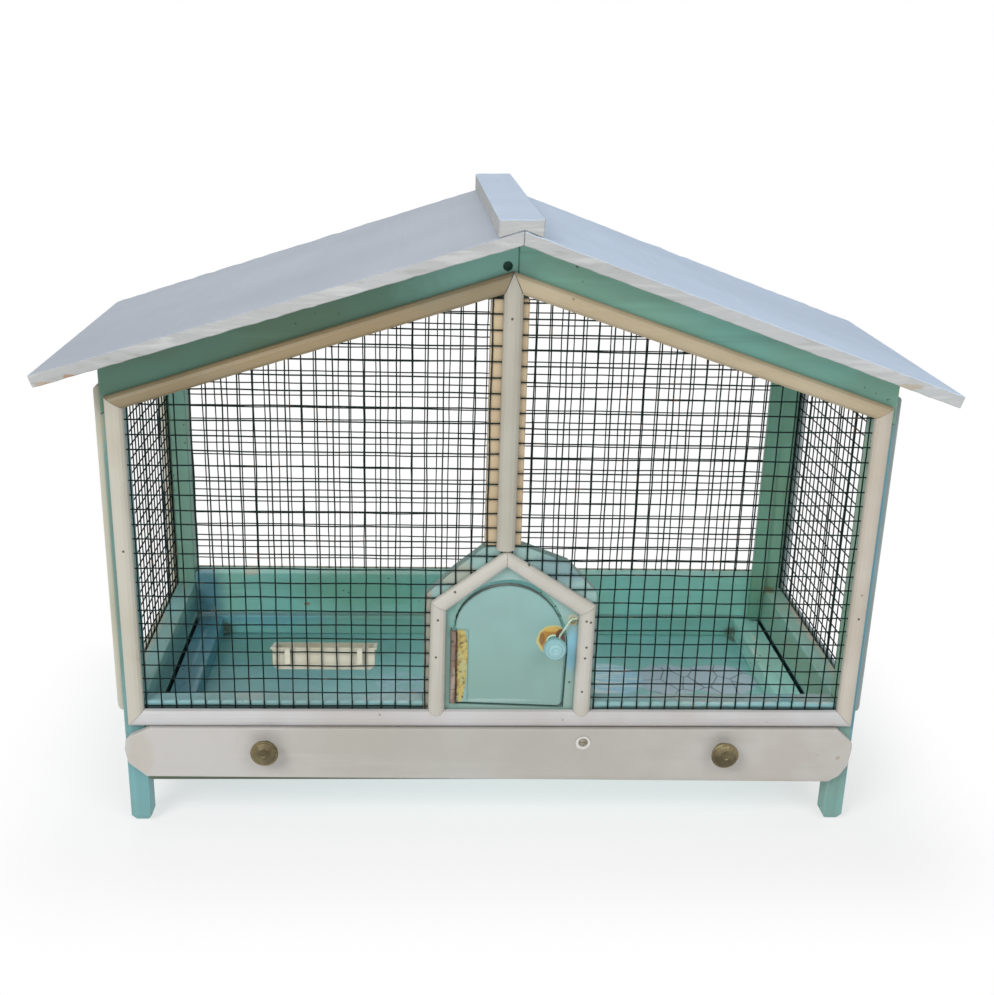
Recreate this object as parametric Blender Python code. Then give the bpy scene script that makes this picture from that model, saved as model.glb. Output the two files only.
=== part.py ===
# Wooden bird cage shaped like a small house: a painted softwood frame on four short legs,
# welded wire mesh held under half-round mouldings, a two-board roof with a notched ridge cap,
# an arched door, and a tray with its own front board that slides out under the frame.
#
# Units are metres. X runs left to right, Y from front to back, Z up from the feet.
# Sizes in Y are counted from the front face of the frame, and the whole cage then moves
# forward by ORIGIN_Y, which puts the origin under the middle of its footprint.

import bmesh
import bpy
from math import atan2, cos, pi, radians, sin, sqrt
from mathutils import Matrix, Vector

# Fit between pieces that touch
GAP = 0.0003

# Frame
HALF_WIDTH = 0.324
DEPTH = 0.290
STOCK = 0.018
INNER = HALF_WIDTH - STOCK
ORIGIN_Y = 0.131
FOOT_CHAMFER = 0.0033
FOOT_CHAMFER_HEIGHT = 0.0055
EDGE = 0.0009
CORNER_ANGLE = radians(35)

# Roof: the boards' top surface at the front and at the back, hand fitted and slightly twisted
ROOF_FRONT = -0.036
ROOF_BACK = 0.298
ROOF_BOARD = 0.010
LEFT_EAVE = (Vector((-0.3680, ROOF_FRONT, 0.4154)), Vector((-0.3740, ROOF_BACK, 0.4149)))
RIGHT_EAVE = (Vector((0.3642, ROOF_FRONT, 0.4093)), Vector((0.3740, ROOF_BACK, 0.4086)))
RIDGE = (Vector((0.0089, ROOF_FRONT, 0.5311)), Vector((0.0034, ROOF_BACK, 0.5381)))
CAP_WIDTH = 0.0345
CAP_TOP = (0.5398, 0.5477)

# Gable rails: their lower edges meet at a blunt point over the middle
GABLE_FOOT = 0.3825
GABLE_PEAK = Vector((0.0043, 0.4808))
HANGING_HOLE = Vector((-0.0004, 0.5000))
HANGING_HOLE_RADIUS = 0.004
HANGING_HOLE_DEPTH = 0.0135

# Rails and base
FRONT_RAIL = (0.0940, 0.1206)
SIDE_BOARD = (0.0385, 0.1220)
BACK_RAIL = (0.0915, 0.1335)
SIDE_TOP_RAIL_FOOT = 0.3800
BASE_RAIL = (0.0385, 0.0497)

# Half-round moulding and the mesh under it
MESH_WIRE = 0.0010
MESH_PITCH = 0.0381
MESH_ROW = 0.0384
MOULDING_SEAT = GAP + MESH_WIRE + GAP
MOULDING_RISE = 0.0064
MOULDING_WIDTH = 0.0150
LEVEL_MOULDING = 0.0155
MOULDING_HALF = 0.320
FRONT_MOULDING_FOOT = 0.0987
BACK_MOULDING_FOOT = 0.1185
MOULDING_SHOULDER = 0.3919
MOULDING_APEX = Vector((0.0043, 0.4965))
CENTRE_MOULDING = (-0.0030, 0.0126)

# Door surround, board, leaf and hardware
SURROUND_FOOT = 0.1105
SURROUND_OUTER = (
    (-0.0590, SURROUND_FOOT), (-0.0576, 0.2167), (0.0059, 0.2643), (0.0839, 0.2147), (0.0837, SURROUND_FOOT))
SURROUND_INNER = (
    (-0.0447, SURROUND_FOOT), (-0.0444, 0.2091), (0.0064, 0.2493), (0.0700, 0.2056), (0.0687, SURROUND_FOOT))
DOOR_BOARD = 0.012
DOOR_BOARD_FOOT = 0.1080
DOOR_BOARD_SIDES = (-0.0630, 0.0865)
DOORWAY = (-0.0378, 0.0618)
DOORWAY_APEX = Vector((0.0105, 0.2365))
DOORWAY_SPRINGS = (0.1915, 0.1700)
DOORWAY_SILL = (Vector((-0.0402, 0.1190)), Vector((0.0603, 0.1152)))
LEAF_SIDES = (-0.0362, 0.0599)
LEAF_APEX = Vector((0.0093, 0.2307))
LEAF_SPRINGS = (0.1915, 0.1720)
LEAF_HINGE_SIDE = -0.0352
LEAF_FOOT = 0.1205
LEAF_CORNER = (Vector((0.0543, 0.1211)), 0.0040)
LEAF_FACE = -0.0005
LEAF_THICK = 0.009
HINGE_PIN = Vector((-0.0377, -0.0030))
HINGE_SPAN = (0.1212, 0.1902)
HINGE_SHEET = 0.0008
HINGE_PLATES = (0.0115, 0.0125)
KNUCKLE_RADIUS = 0.0022
KNUCKLE_GAP = 0.0005
PIN_RADIUS = 0.0010
DOOR_KNOB = Vector((0.0487, 0.1808))
LATCH_PLANE = -0.0045
LATCH_WIRE = 0.0009
LATCH_EYE = Vector((0.0654, 0.1988))

# Tray and its front board
TRAY_HALF = 0.303
TRAY_BACK = 0.2920
TRAY_FLOOR = (0.0500, 0.0623)
TRAY_RIM_TOP = 0.0828
SIDE_RIM = 0.025
BACK_RIM = STOCK
DRAWER_BOARD = 0.008
DRAWER_KNOBS = ((-0.2008, 0.0805), (0.2040, 0.0785))
DRAWER_SCREW = (0.0790, 0.0845)
SCREW_HOLE_RADIUS = 0.0042
SCREW_HOLE_DEPTH = 0.0020
SCREW_SLOT = 0.0010

# Hook-on feeder, hung on the front mesh
FEEDER_SIDES = (-0.1935, -0.1056)
FEEDER_FOOT = 0.1510
FEEDER_BACK_TOP = 0.1715
FEEDER_FRONT_TOP = 0.1620
FEEDER_DEPTH = 0.030
FEEDER_FACE = 0.0012
FEEDER_WALL = 0.0016
HOOK_PLACES = (-0.1803, -0.1184)
HOOK_WIDTH = 0.0045

CAGE = None


def clear_scene():
    for item in list(bpy.data.objects):
        bpy.data.objects.remove(item, do_unlink=True)


def paint(name, colour, roughness, metallic=0.0):
    """A Principled BSDF with one colour, which is all that the model itself carries."""
    material = bpy.data.materials.new(name)
    material.use_nodes = True
    shader = material.node_tree.nodes["Principled BSDF"]
    shader.inputs["Base Color"].default_value = (*colour, 1.0)
    shader.inputs["Roughness"].default_value = roughness
    shader.inputs["Metallic"].default_value = metallic
    return material


def make_materials():
    return {
        "green": paint("green_paint", (0.155, 0.38, 0.32), 0.55),
        "cream": paint("cream_paint", (0.60, 0.56, 0.50), 0.5),
        "roof": paint("roof_paint", (0.50, 0.58, 0.72), 0.55),
        "mesh": paint("dark_wire", (0.012, 0.03, 0.028), 0.5, 0.4),
        "mint": paint("door_paint", (0.26, 0.46, 0.40), 0.5),
        "brass": paint("aged_brass", (0.26, 0.22, 0.13), 0.4, 0.9),
        "steel": paint("painted_steel", (0.36, 0.46, 0.42), 0.45, 0.3),
        "plastic": paint("cream_plastic", (0.62, 0.56, 0.38), 0.35),
    }


def place(name, bm, material, bevel=0.0, segments=1):
    """Turn a bmesh into a named object that stands in the cage's own frame, corners eased."""
    bmesh.ops.remove_doubles(bm, verts=bm.verts, dist=1e-6)
    bmesh.ops.recalc_face_normals(bm, faces=bm.faces)
    if bevel > 0:
        corners = [edge for edge in bm.edges if edge.is_convex and edge.calc_face_angle() > CORNER_ANGLE]
        bmesh.ops.bevel(
            bm, geom=corners, offset=bevel, offset_type="OFFSET", segments=segments, profile=0.5,
            affect="EDGES", material=-1)
    mesh = bpy.data.meshes.new(name)
    bm.to_mesh(mesh)
    bm.free()
    mesh.materials.append(material)
    item = bpy.data.objects.new(name, mesh)
    bpy.context.scene.collection.objects.link(item)
    item.parent = CAGE
    return item


def hang(axis_name, spot, *names):
    """Stand a moving group on an empty at a point of its joint's axis."""
    axis = bpy.data.objects.new(axis_name, None)
    axis.empty_display_size = 0.02
    axis.location = spot
    axis.parent = CAGE
    bpy.context.scene.collection.objects.link(axis)
    for name in names:
        item = bpy.data.objects[name]
        cutters = [change.object for change in item.modifiers if change.type == "BOOLEAN"]
        for piece in [item] + cutters:
            piece.parent = axis
            piece.location -= axis.location


def shade_round(item, angle=40):
    item.data.shade_smooth()
    item.data.set_sharp_from_angle(angle=radians(angle))
    return item


def rings_to_mesh(rings):
    """Skin a closed body through rings of equal point counts, with a cap at each end."""
    bm = bmesh.new()
    loops = [[bm.verts.new(point) for point in ring] for ring in rings]
    for lower, upper in zip(loops, loops[1:]):
        for i in range(len(lower)):
            j = (i + 1) % len(lower)
            bm.faces.new((lower[i], lower[j], upper[j], upper[i]))
    bm.faces.new(list(reversed(loops[0])))
    bm.faces.new(loops[-1])
    return bm


def prism(outline, axis, start, end):
    """Extrude a flat outline along X, Y or Z; its points are given in the other two axes."""
    spots = {
        "X": lambda a, b, depth: Vector((depth, a, b)),
        "Y": lambda a, b, depth: Vector((a, depth, b)),
        "Z": lambda a, b, depth: Vector((a, b, depth)),
    }[axis]
    rings = [[spots(a, b, depth) for a, b in outline] for depth in (start, end)]
    return rings_to_mesh(rings)


def block(low, high):
    outline = [(low[0], low[1]), (high[0], low[1]), (high[0], high[1]), (low[0], high[1])]
    return prism(outline, "Z", low[2], high[2])


def arc(centre, radius, start, end, count):
    angles = [start + (end - start) * i / count for i in range(count + 1)]
    return [(centre[0] + radius * cos(a), centre[1] + radius * sin(a)) for a in angles]


def add_boolean(item, cutter, operation):
    cutter.hide_render = True
    cutter.display_type = "WIRE"
    change = item.modifiers.new(operation.lower(), "BOOLEAN")
    change.operation = operation
    change.solver = "EXACT"
    change.object = cutter


def roof_edges(y):
    """The eaves and the ridge of the roof's top surface at one depth."""
    t = (y - ROOF_FRONT) / (ROOF_BACK - ROOF_FRONT)
    return tuple(front.lerp(back, t) for front, back in (LEFT_EAVE, RIDGE, RIGHT_EAVE))


def roof_top(x, y):
    left, ridge, right = roof_edges(y)
    eave = left if x < ridge.x else right
    return eave.z + (ridge.z - eave.z) * (x - eave.x) / (ridge.x - eave.x)


def roof_underside(x, y):
    left, ridge, right = roof_edges(y)
    eave = left if x < ridge.x else right
    slope = (ridge.z - eave.z) / (ridge.x - eave.x)
    return roof_top(x, y) - ROOF_BOARD * sqrt(1 + slope * slope)


def gable_foot(x):
    """Height of the gable rails' lower edge, which the top mouldings follow."""
    run = GABLE_PEAK.x + INNER if x < GABLE_PEAK.x else INNER - GABLE_PEAK.x
    return GABLE_PEAK.y - (GABLE_PEAK.y - GABLE_FOOT) * abs(x - GABLE_PEAK.x) / run


def column(name, x_span, y_span, foot, top, material, chamfer=0.0):
    """A square post or rail whose top is cut to the slope of what it carries; top(x, y) is its height."""
    corners = [(x_span[0], y_span[0]), (x_span[1], y_span[0]), (x_span[1], y_span[1]), (x_span[0], y_span[1])]
    middle = Vector((sum(x_span) / 2, sum(y_span) / 2))
    rings = []
    if chamfer > 0:
        inset = []
        for x, y in corners:
            inward = Vector((middle.x - x, middle.y - y))
            inset.append((x + chamfer * (1 if inward.x > 0 else -1), y + chamfer * (1 if inward.y > 0 else -1)))
        rings.append([Vector((x, y, foot)) for x, y in inset])
        rings.append([Vector((x, y, foot + FOOT_CHAMFER_HEIGHT)) for x, y in corners])
    else:
        rings.append([Vector((x, y, foot)) for x, y in corners])
    rings.append([Vector((x, y, top(x, y) - GAP)) for x, y in corners])
    return place(name, rings_to_mesh(rings), material, bevel=EDGE)


def make_posts(green):
    """Four posts that run up to the gable boards, which rest on them."""
    def top(x, y):
        return gable_foot(x)

    for end, y_span in (("front", (0.0, STOCK)), ("back", (DEPTH - STOCK, DEPTH))):
        column(end + "_left_post", (-HALF_WIDTH, -INNER), y_span, 0.0, top, green, FOOT_CHAMFER)
        column(end + "_right_post", (INNER, HALF_WIDTH), y_span, 0.0, top, green, FOOT_CHAMFER)


def make_gable_rails(green):
    """Two sloping boards at each end, butted under the ridge and laid over the posts."""
    for end, y_span in (("front", (0.0, STOCK)), ("back", (DEPTH - STOCK, DEPTH))):
        joint = roof_edges(sum(y_span) / 2)[1].x
        spans = (("left", -HALF_WIDTH, joint - GAP / 2), ("right", joint + GAP / 2, HALF_WIDTH))
        for side, start, finish in spans:
            stops = [start, finish]
            if start < GABLE_PEAK.x < finish:
                stops.insert(1, GABLE_PEAK.x)
            rings = []
            for y in y_span:
                lower = [Vector((x, y, gable_foot(x))) for x in stops]
                upper = [Vector((x, y, roof_underside(x, y) - GAP)) for x in reversed((start, finish))]
                rings.append(lower + upper)
            rail = place(end + "_gable_rail_" + side, rings_to_mesh(rings), green, bevel=EDGE)
            if end == "front" and side == "left":
                cut_hanging_hole(rail)


def cut_hanging_hole(rail):
    """The small blind hole in the gable, just over the moulding's point."""
    outline = arc(HANGING_HOLE, HANGING_HOLE_RADIUS, 0, 2 * pi, 12)[:-1]
    cutter = place("hanging_hole_cutter", prism(outline, "Y", -STOCK, HANGING_HOLE_DEPTH), rail.data.materials[0])
    add_boolean(rail, cutter, "DIFFERENCE")


def make_rails(green):
    reach = INNER - GAP
    notch = (DOOR_BOARD_SIDES[0] - GAP, DOOR_BOARD_SIDES[1] + GAP)
    low, high = FRONT_RAIL
    outline = [
        (-reach, low), (reach, low), (reach, high), (notch[1], high),
        (notch[1], DOOR_BOARD_FOOT - GAP), (notch[0], DOOR_BOARD_FOOT - GAP), (notch[0], high), (-reach, high),
    ]
    place("front_bottom_rail", prism(outline, "Y", 0.0, STOCK), green, bevel=EDGE)
    low, high = BACK_RAIL
    place("back_bottom_rail", block((-reach, DEPTH - STOCK, low), (reach, DEPTH, high)), green, bevel=EDGE)
    between = (STOCK + GAP, DEPTH - STOCK - GAP)
    for side, x_span in (("left", (-HALF_WIDTH, -INNER)), ("right", (INNER, HALF_WIDTH))):
        low, high = SIDE_BOARD
        body = block((x_span[0], between[0], low), (x_span[1], between[1], high))
        place("side_board_" + side, body, green, bevel=EDGE)
        column("side_top_rail_" + side, x_span, between, SIDE_TOP_RAIL_FOOT, roof_underside, green)


def make_base(green):
    """Low rails and runners between the legs, on which the tray slides."""
    reach = INNER - GAP
    low, high = BASE_RAIL
    place("front_base_rail", block((-reach, 0.0, low), (reach, STOCK, high)), green, bevel=EDGE)
    place("back_base_rail", block((-reach, DEPTH - STOCK, low), (reach, DEPTH, high)), green, bevel=EDGE)
    between = (STOCK + GAP, DEPTH - STOCK - GAP)
    for side, x_span in (("left", (-reach, STOCK - reach)), ("right", (reach - STOCK, reach))):
        body = block((x_span[0], between[0], low), (x_span[1], between[1], high))
        place("tray_runner_" + side, body, green, bevel=EDGE)


def make_battens(green, cream):
    """The upright behind the centre moulding, and the strip in the back right corner."""
    width = (-0.0124, 0.0180)
    foot = 0.2673
    top = min(gable_foot(x) for x in width) - GAP
    place("centre_batten", block((width[0], 0.0, foot), (width[1], STOCK, top)), cream, bevel=EDGE)
    front = DEPTH - STOCK - 0.008
    x_span = (INNER - 0.0145, INNER - GAP)
    top = gable_foot(x_span[1]) - 0.004
    foot = TRAY_RIM_TOP + 0.0030
    body = block((x_span[0], front, foot), (x_span[1], DEPTH - STOCK - GAP, top))
    place("back_corner_batten", body, green, bevel=EDGE)


def roof_board(name, eave, towards_ridge, material):
    """A twisted board: a fine grid of its top surface, with the underside one thickness below."""
    across = 8
    along = 8
    rows = []
    for j in range(along + 1):
        t = j / along
        outer = eave[0].lerp(eave[1], t)
        inner = RIDGE[0].lerp(RIDGE[1], t) + Vector((towards_ridge, 0, 0))
        inner.z = roof_top(inner.x, inner.y)
        rows.append([outer.lerp(inner, i / across) for i in range(across + 1)])
    drop = []
    for row in rows:
        run = row[-1] - row[0]
        side = Vector((run.z, 0, -run.x)).normalized()
        if side.z > 0:
            side = -side
        square_end = [point + side * ROOF_BOARD for point in row]
        square_end[-1] = Vector((row[-1].x, row[-1].y, roof_underside(row[-1].x, row[-1].y)))
        drop.append(square_end)
    rings = [row + list(reversed(under)) for row, under in zip(rows, drop)]
    return place(name, board_from_rings(rings, across), material, bevel=0.0006)


def board_from_rings(rings, across):
    """Skin rings that go out along the top and back along the underside, with quads on the ends."""
    bm = bmesh.new()
    loops = [[bm.verts.new(point) for point in ring] for ring in rings]
    count = len(loops[0])
    for lower, upper in zip(loops, loops[1:]):
        for i in range(count):
            j = (i + 1) % count
            bm.faces.new((lower[i], lower[j], upper[j], upper[i]))
    for loop in (loops[0], loops[-1]):
        for i in range(across):
            bm.faces.new((loop[i], loop[i + 1], loop[count - 2 - i], loop[count - 1 - i]))
    return bm


def make_roof(material):
    roof_board("roof_board_left", LEFT_EAVE, -GAP / 2, material)
    roof_board("roof_board_right", RIGHT_EAVE, GAP / 2, material)
    make_ridge_cap(material)


def make_ridge_cap(material):
    """A square strip along the ridge, notched underneath to sit over both boards."""
    rings = []
    steps = 4
    for j in range(steps + 1):
        t = j / steps
        ridge = RIDGE[0].lerp(RIDGE[1], t)
        middle = ridge.x - 0.0019
        left = middle - CAP_WIDTH / 2
        right = middle + CAP_WIDTH / 2
        top = CAP_TOP[0] + (CAP_TOP[1] - CAP_TOP[0]) * t
        outline = [
            (left, roof_top(left, ridge.y) + GAP), (ridge.x, ridge.z + GAP), (right, roof_top(right, ridge.y) + GAP),
            (right, top + 0.0005), (left, top - 0.0005),
        ]
        rings.append([Vector((x, ridge.y, z)) for x, z in outline])
    place("ridge_cap", rings_to_mesh(rings), material, bevel=EDGE)


def moulding_section(start, finish, to_world):
    """One cross section of half-round moulding, from its outer edge to its inner edge."""
    steps = 7
    quirk = 0.0012
    ring = [to_world(start, 0.0)]
    for i in range(steps + 1):
        angle = pi * i / steps
        spot = start.lerp(finish, (1 - cos(angle)) / 2)
        ring.append(to_world(spot, quirk + (MOULDING_RISE - quirk) * sin(angle)))
    ring.append(to_world(finish, 0.0))
    return ring


def half_round(outer, inner, to_world):
    """A length of half-round moulding between two edges.

    outer and inner each hold the start and the end of one long edge, so the angle between
    start points gives the mitre. to_world turns (across, up, out) into a point of the cage.
    """
    outer = [Vector(point) for point in outer]
    inner = [Vector(point) for point in inner]
    along = ((outer[1] - outer[0]) + (inner[1] - inner[0])).normalized() * GAP / 2
    rings = []
    for end, shift in ((0, along), (1, -along)):
        rings.append(moulding_section(outer[end] + shift, inner[end] + shift, to_world))
    return rings_to_mesh(rings)


def moulding_frame(outer, inner, to_world):
    """A closed frame of the same moulding, glued up at its mitres."""
    bm = bmesh.new()
    loops = []
    for start, finish in zip(outer, inner):
        ring = moulding_section(Vector(start), Vector(finish), to_world)
        loops.append([bm.verts.new(point) for point in ring])
    for first, second in zip(loops, loops[1:] + loops[:1]):
        for i in range(len(first)):
            j = (i + 1) % len(first)
            bm.faces.new((first[i], first[j], second[j], second[i]))
    return bm


def front_face(spot, out):
    return Vector((spot.x, -MOULDING_SEAT - out, spot.y))


def back_face(spot, out):
    return Vector((spot.x, DEPTH + MOULDING_SEAT + out, spot.y))


def left_face(spot, out):
    return Vector((-HALF_WIDTH - MOULDING_SEAT - out, spot.x, spot.y))


def right_face(spot, out):
    return Vector((HALF_WIDTH + MOULDING_SEAT + out, spot.x, spot.y))


def house_edges(foot):
    """Outer and inner corners of the mouldings round a gable end, from bottom left, clockwise."""
    inner_half = MOULDING_HALF - 0.0148
    outer = [(-MOULDING_HALF, foot), (-MOULDING_HALF, MOULDING_SHOULDER), tuple(MOULDING_APEX)]
    outer += [(MOULDING_HALF, MOULDING_SHOULDER), (MOULDING_HALF, foot)]
    inner = [(-inner_half, foot + LEVEL_MOULDING), (-inner_half, GABLE_FOOT), tuple(GABLE_PEAK)]
    inner += [(inner_half, GABLE_FOOT), (inner_half, foot + LEVEL_MOULDING)]
    return outer, inner


def make_mouldings(cream):
    """Six lengths on the front, and one glued frame on each side and on the back."""
    names = ("left", "top_left", "top_right", "right", "bottom")
    outer, inner = house_edges(FRONT_MOULDING_FOOT)
    seats = [(x, gable_foot(x)) for x in CENTRE_MOULDING]
    for i, name in enumerate(names):
        j = (i + 1) % 5
        start = seats[1] if name == "top_right" else inner[i]
        finish = seats[0] if name == "top_left" else inner[j]
        strip = half_round((outer[i], outer[j]), (start, finish), front_face)
        shade_round(place("front_moulding_" + name, strip, cream))
    make_centre_moulding(seats, cream)

    outer, inner = house_edges(BACK_MOULDING_FOOT)
    shade_round(place("back_moulding_frame", moulding_frame(outer, inner, back_face), cream))

    low, high = (0.008, 0.108), (DEPTH - 0.008, 0.398)
    width = MOULDING_WIDTH
    outer = [(low[0], low[1]), (low[0], high[1]), (high[0], high[1]), (high[0], low[1])]
    inner = [(low[0] + width, low[1] + width), (low[0] + width, high[1] - width)]
    inner += [(high[0] - width, high[1] - width), (high[0] - width, low[1] + width)]
    for side, to_world in (("left", left_face), ("right", right_face)):
        shade_round(place("side_moulding_frame_" + side, moulding_frame(outer, inner, to_world), cream))


def make_centre_moulding(seats, cream):
    """The upright length, cut to a point that fits between the two top lengths."""
    foot = SURROUND_OUTER[2][1] + GAP
    edges = [((x, MOULDING_APEX.y), (x, foot)) for x in CENTRE_MOULDING]
    strip = half_round(edges[0], edges[1], front_face)
    for seat, outward in zip(seats, (-1, 1)):
        rise = MOULDING_APEX - Vector(seat)
        normal = Vector((outward * rise.y, 0.0, -outward * rise.x)).normalized()
        spot = Vector((seat[0], 0.0, seat[1])) - normal * GAP
        geometry = strip.verts[:] + strip.edges[:] + strip.faces[:]
        bmesh.ops.bisect_plane(strip, geom=geometry, plane_co=spot, plane_no=normal, clear_outer=True)
        bmesh.ops.holes_fill(strip, edges=[edge for edge in strip.edges if edge.is_boundary])
    shade_round(place("front_moulding_centre", strip, cream))


def cope(upright, name, cream):
    """Shape the foot of an upright length so that it laps over the moulding below it."""
    foot, top = FRONT_MOULDING_FOOT - GAP, FRONT_MOULDING_FOOT + LEVEL_MOULDING + GAP

    def over_moulding(spot, out):
        return Vector((spot.x, -MOULDING_SEAT - out - GAP if out > 0 else STOCK, spot.y))

    edges = [((-HALF_WIDTH, height), (HALF_WIDTH, height)) for height in (foot, top)]
    add_boolean(upright, place(name + "_cutter", half_round(*edges, over_moulding), cream), "DIFFERENCE")


def make_door_surround(cream):
    names = ("left", "top_left", "top_right", "right")
    for i, name in enumerate(names):
        outer = (SURROUND_OUTER[i], SURROUND_OUTER[i + 1])
        inner = (SURROUND_INNER[i], SURROUND_INNER[i + 1])
        name = "door_surround_" + name
        length = shade_round(place(name, half_round(outer, inner, front_face), cream))
        if SURROUND_FOOT in (outer[0][1], outer[1][1]):
            cope(length, name, cream)


def span_at(outline, fixed, position):
    """Where a line across an outline enters and leaves it; fixed is the constant coordinate."""
    other = 1 - fixed
    found = []
    for a, b in zip(outline, outline[1:] + outline[:1]):
        if (a[fixed] - position) * (b[fixed] - position) < 0:
            t = (position - a[fixed]) / (b[fixed] - a[fixed])
            found.append(a[other] + (b[other] - a[other]) * t)
    return (min(found), max(found)) if len(found) > 1 else None


def welded_mesh(name, outline, columns, rows, to_world, material):
    """A flat net of square wires that end free at the outline, as cut mesh does."""
    half = MESH_WIRE / 2
    bm = bmesh.new()
    corners = {}

    def corner(a, b):
        key = (round(a, 6), round(b, 6))
        if key not in corners:
            corners[key] = bm.verts.new(to_world(Vector((a, b)), GAP))
        return corners[key]

    def patch(a0, a1, b0, b1):
        bm.faces.new((corner(a0, b0), corner(a1, b0), corner(a1, b1), corner(a0, b1)))

    reach_up = {x: span_at(outline, 0, x) for x in columns}
    reach_across = {z: span_at(outline, 1, z) for z in rows}
    crossings = set()
    for x in columns:
        for z in rows:
            up, across = reach_up[x], reach_across[z]
            inside = up and across and up[0] + half < z < up[1] - half and across[0] + half < x < across[1] - half
            if inside:
                crossings.add((x, z))
                patch(x - half, x + half, z - half, z + half)
    for x in columns:
        stops = [z for z in rows if (x, z) in crossings]
        if stops:
            starts = [reach_up[x][0]] + [z + half for z in stops]
            ends = [z - half for z in stops] + [reach_up[x][1]]
            for low, high in zip(starts, ends):
                patch(x - half, x + half, low, high)
    for z in rows:
        stops = [x for x in columns if (x, z) in crossings]
        if stops:
            starts = [reach_across[z][0]] + [x + half for x in stops]
            ends = [x - half for x in stops] + [reach_across[z][1]]
            for low, high in zip(starts, ends):
                patch(low, high, z - half, z + half)
    out = to_world(Vector((0, 0)), GAP + MESH_WIRE) - to_world(Vector((0, 0)), GAP)
    grown = bmesh.ops.extrude_face_region(bm, geom=list(bm.faces))
    moved = [item for item in grown["geom"] if isinstance(item, bmesh.types.BMVert)]
    bmesh.ops.translate(bm, verts=moved, vec=out)
    return place(name, bm, material)


def ladder(start, step, count):
    return [round(start + step * i, 6) for i in range(count)]


def house_outline(left, right, foot):
    """Outline under the middle of the gable mouldings, between two upright edges."""
    middle = (MOULDING_APEX + GABLE_PEAK) / 2
    shoulder = (MOULDING_SHOULDER + GABLE_FOOT) / 2
    edge = MOULDING_HALF - MOULDING_WIDTH / 2

    def height(x):
        run = middle.x + edge if x < middle.x else edge - middle.x
        return middle.y - (middle.y - shoulder) * abs(x - middle.x) / run

    outline = [(left, foot), (left, height(left))]
    if left < middle.x < right:
        outline.append((middle.x, middle.y))
    return outline + [(right, height(right)), (right, foot)]


def make_meshes(wire):
    """Two sheets on each side of the front's centre line, and one on each other face."""
    edge = MOULDING_HALF - MOULDING_WIDTH / 2
    foot = FRONT_MOULDING_FOOT + MOULDING_WIDTH / 2
    seam = sum(CENTRE_MOULDING) / 2
    heads = [tuple((Vector(a) + Vector(b)) / 2) for a, b in zip(SURROUND_OUTER, SURROUND_INNER)]

    def front_wire(spot, out):
        return Vector((spot.x, -out, spot.y))

    def back_wire(spot, out):
        return Vector((spot.x, DEPTH + out, spot.y))

    def left_wire(spot, out):
        return Vector((-HALF_WIDTH - out, spot.x, spot.y))

    def right_wire(spot, out):
        return Vector((HALF_WIDTH + out, spot.x, spot.y))

    columns = ladder(-0.30327, MESH_PITCH, 9)
    rows = ladder(0.1300, MESH_ROW, 10)
    beside = heads[0][0] - GAP
    welded_mesh("front_mesh_left", house_outline(-edge, beside, foot), columns, rows, front_wire, wire)
    outline = house_outline(beside + 2 * GAP, seam - GAP, heads[1][1]) + [(seam - GAP, heads[2][1])]
    welded_mesh("door_head_mesh_left", outline, columns, rows, front_wire, wire)

    columns = ladder(0.01092, MESH_PITCH, 8) + [0.30302]
    rows = ladder(0.1264, MESH_ROW, 10)
    beside = heads[4][0] + GAP
    welded_mesh("front_mesh_right", house_outline(beside, edge, foot), columns, rows, front_wire, wire)
    outline = house_outline(seam + GAP, beside - 2 * GAP, heads[3][1])
    outline[0] = (seam + GAP, heads[2][1])
    welded_mesh("door_head_mesh_right", outline, columns, rows, front_wire, wire)

    outline = house_outline(-edge, edge, BACK_MOULDING_FOOT + MOULDING_WIDTH / 2)
    welded_mesh("back_mesh", outline, ladder(-0.3048, MESH_PITCH, 17), ladder(0.1440, MESH_ROW, 9), back_wire, wire)

    front, back = 0.0135, DEPTH - 0.0135
    outline = [(front, 0.1125), (front, 0.3925), (back, 0.3925), (back, 0.1125)]
    columns = ladder(0.0307, MESH_PITCH, 7)
    for side, to_world in (("left", left_wire), ("right", right_wire)):
        welded_mesh("side_mesh_" + side, outline, columns, ladder(0.1300, MESH_ROW, 7), to_world, wire)


def arch(sides, apex, springs, steps=18):
    """A hand-sawn arch, from right to left: a quarter of an ellipse on each side of its top."""
    points = []
    for i in range(steps + 1):
        angle = pi * i / steps
        side = 1 if angle < pi / 2 else 0
        reach = abs(sides[side] - apex.x)
        points.append((apex.x + reach * cos(angle), springs[side] + (apex.y - springs[side]) * sin(angle)))
    return points


def make_door_board(mint):
    """The board that fills the surround, with the arched doorway cut out of it."""
    left, right = DOOR_BOARD_SIDES
    outline = [
        (left, DOOR_BOARD_FOOT), (right, DOOR_BOARD_FOOT), (right, 0.2120), (0.0840, 0.2260), (0.0590, 0.2520),
        (0.0200, 0.2670), (-0.0130, 0.2655), (-0.0370, 0.2460), (left, 0.2210),
    ]
    board = place("door_board", prism(outline, "Y", 0.0, DOOR_BOARD), mint)
    hinge_side = DOORWAY_SILL[0].x
    outline = [tuple(point) for point in DOORWAY_SILL] + arch(DOORWAY, DOORWAY_APEX, DOORWAY_SPRINGS)
    outline.append((hinge_side, DOORWAY_SPRINGS[0]))
    opening = prism(outline, "Y", -DOOR_BOARD, 2 * DOOR_BOARD)
    add_boolean(board, place("doorway_cutter", opening, mint), "DIFFERENCE")


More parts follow.
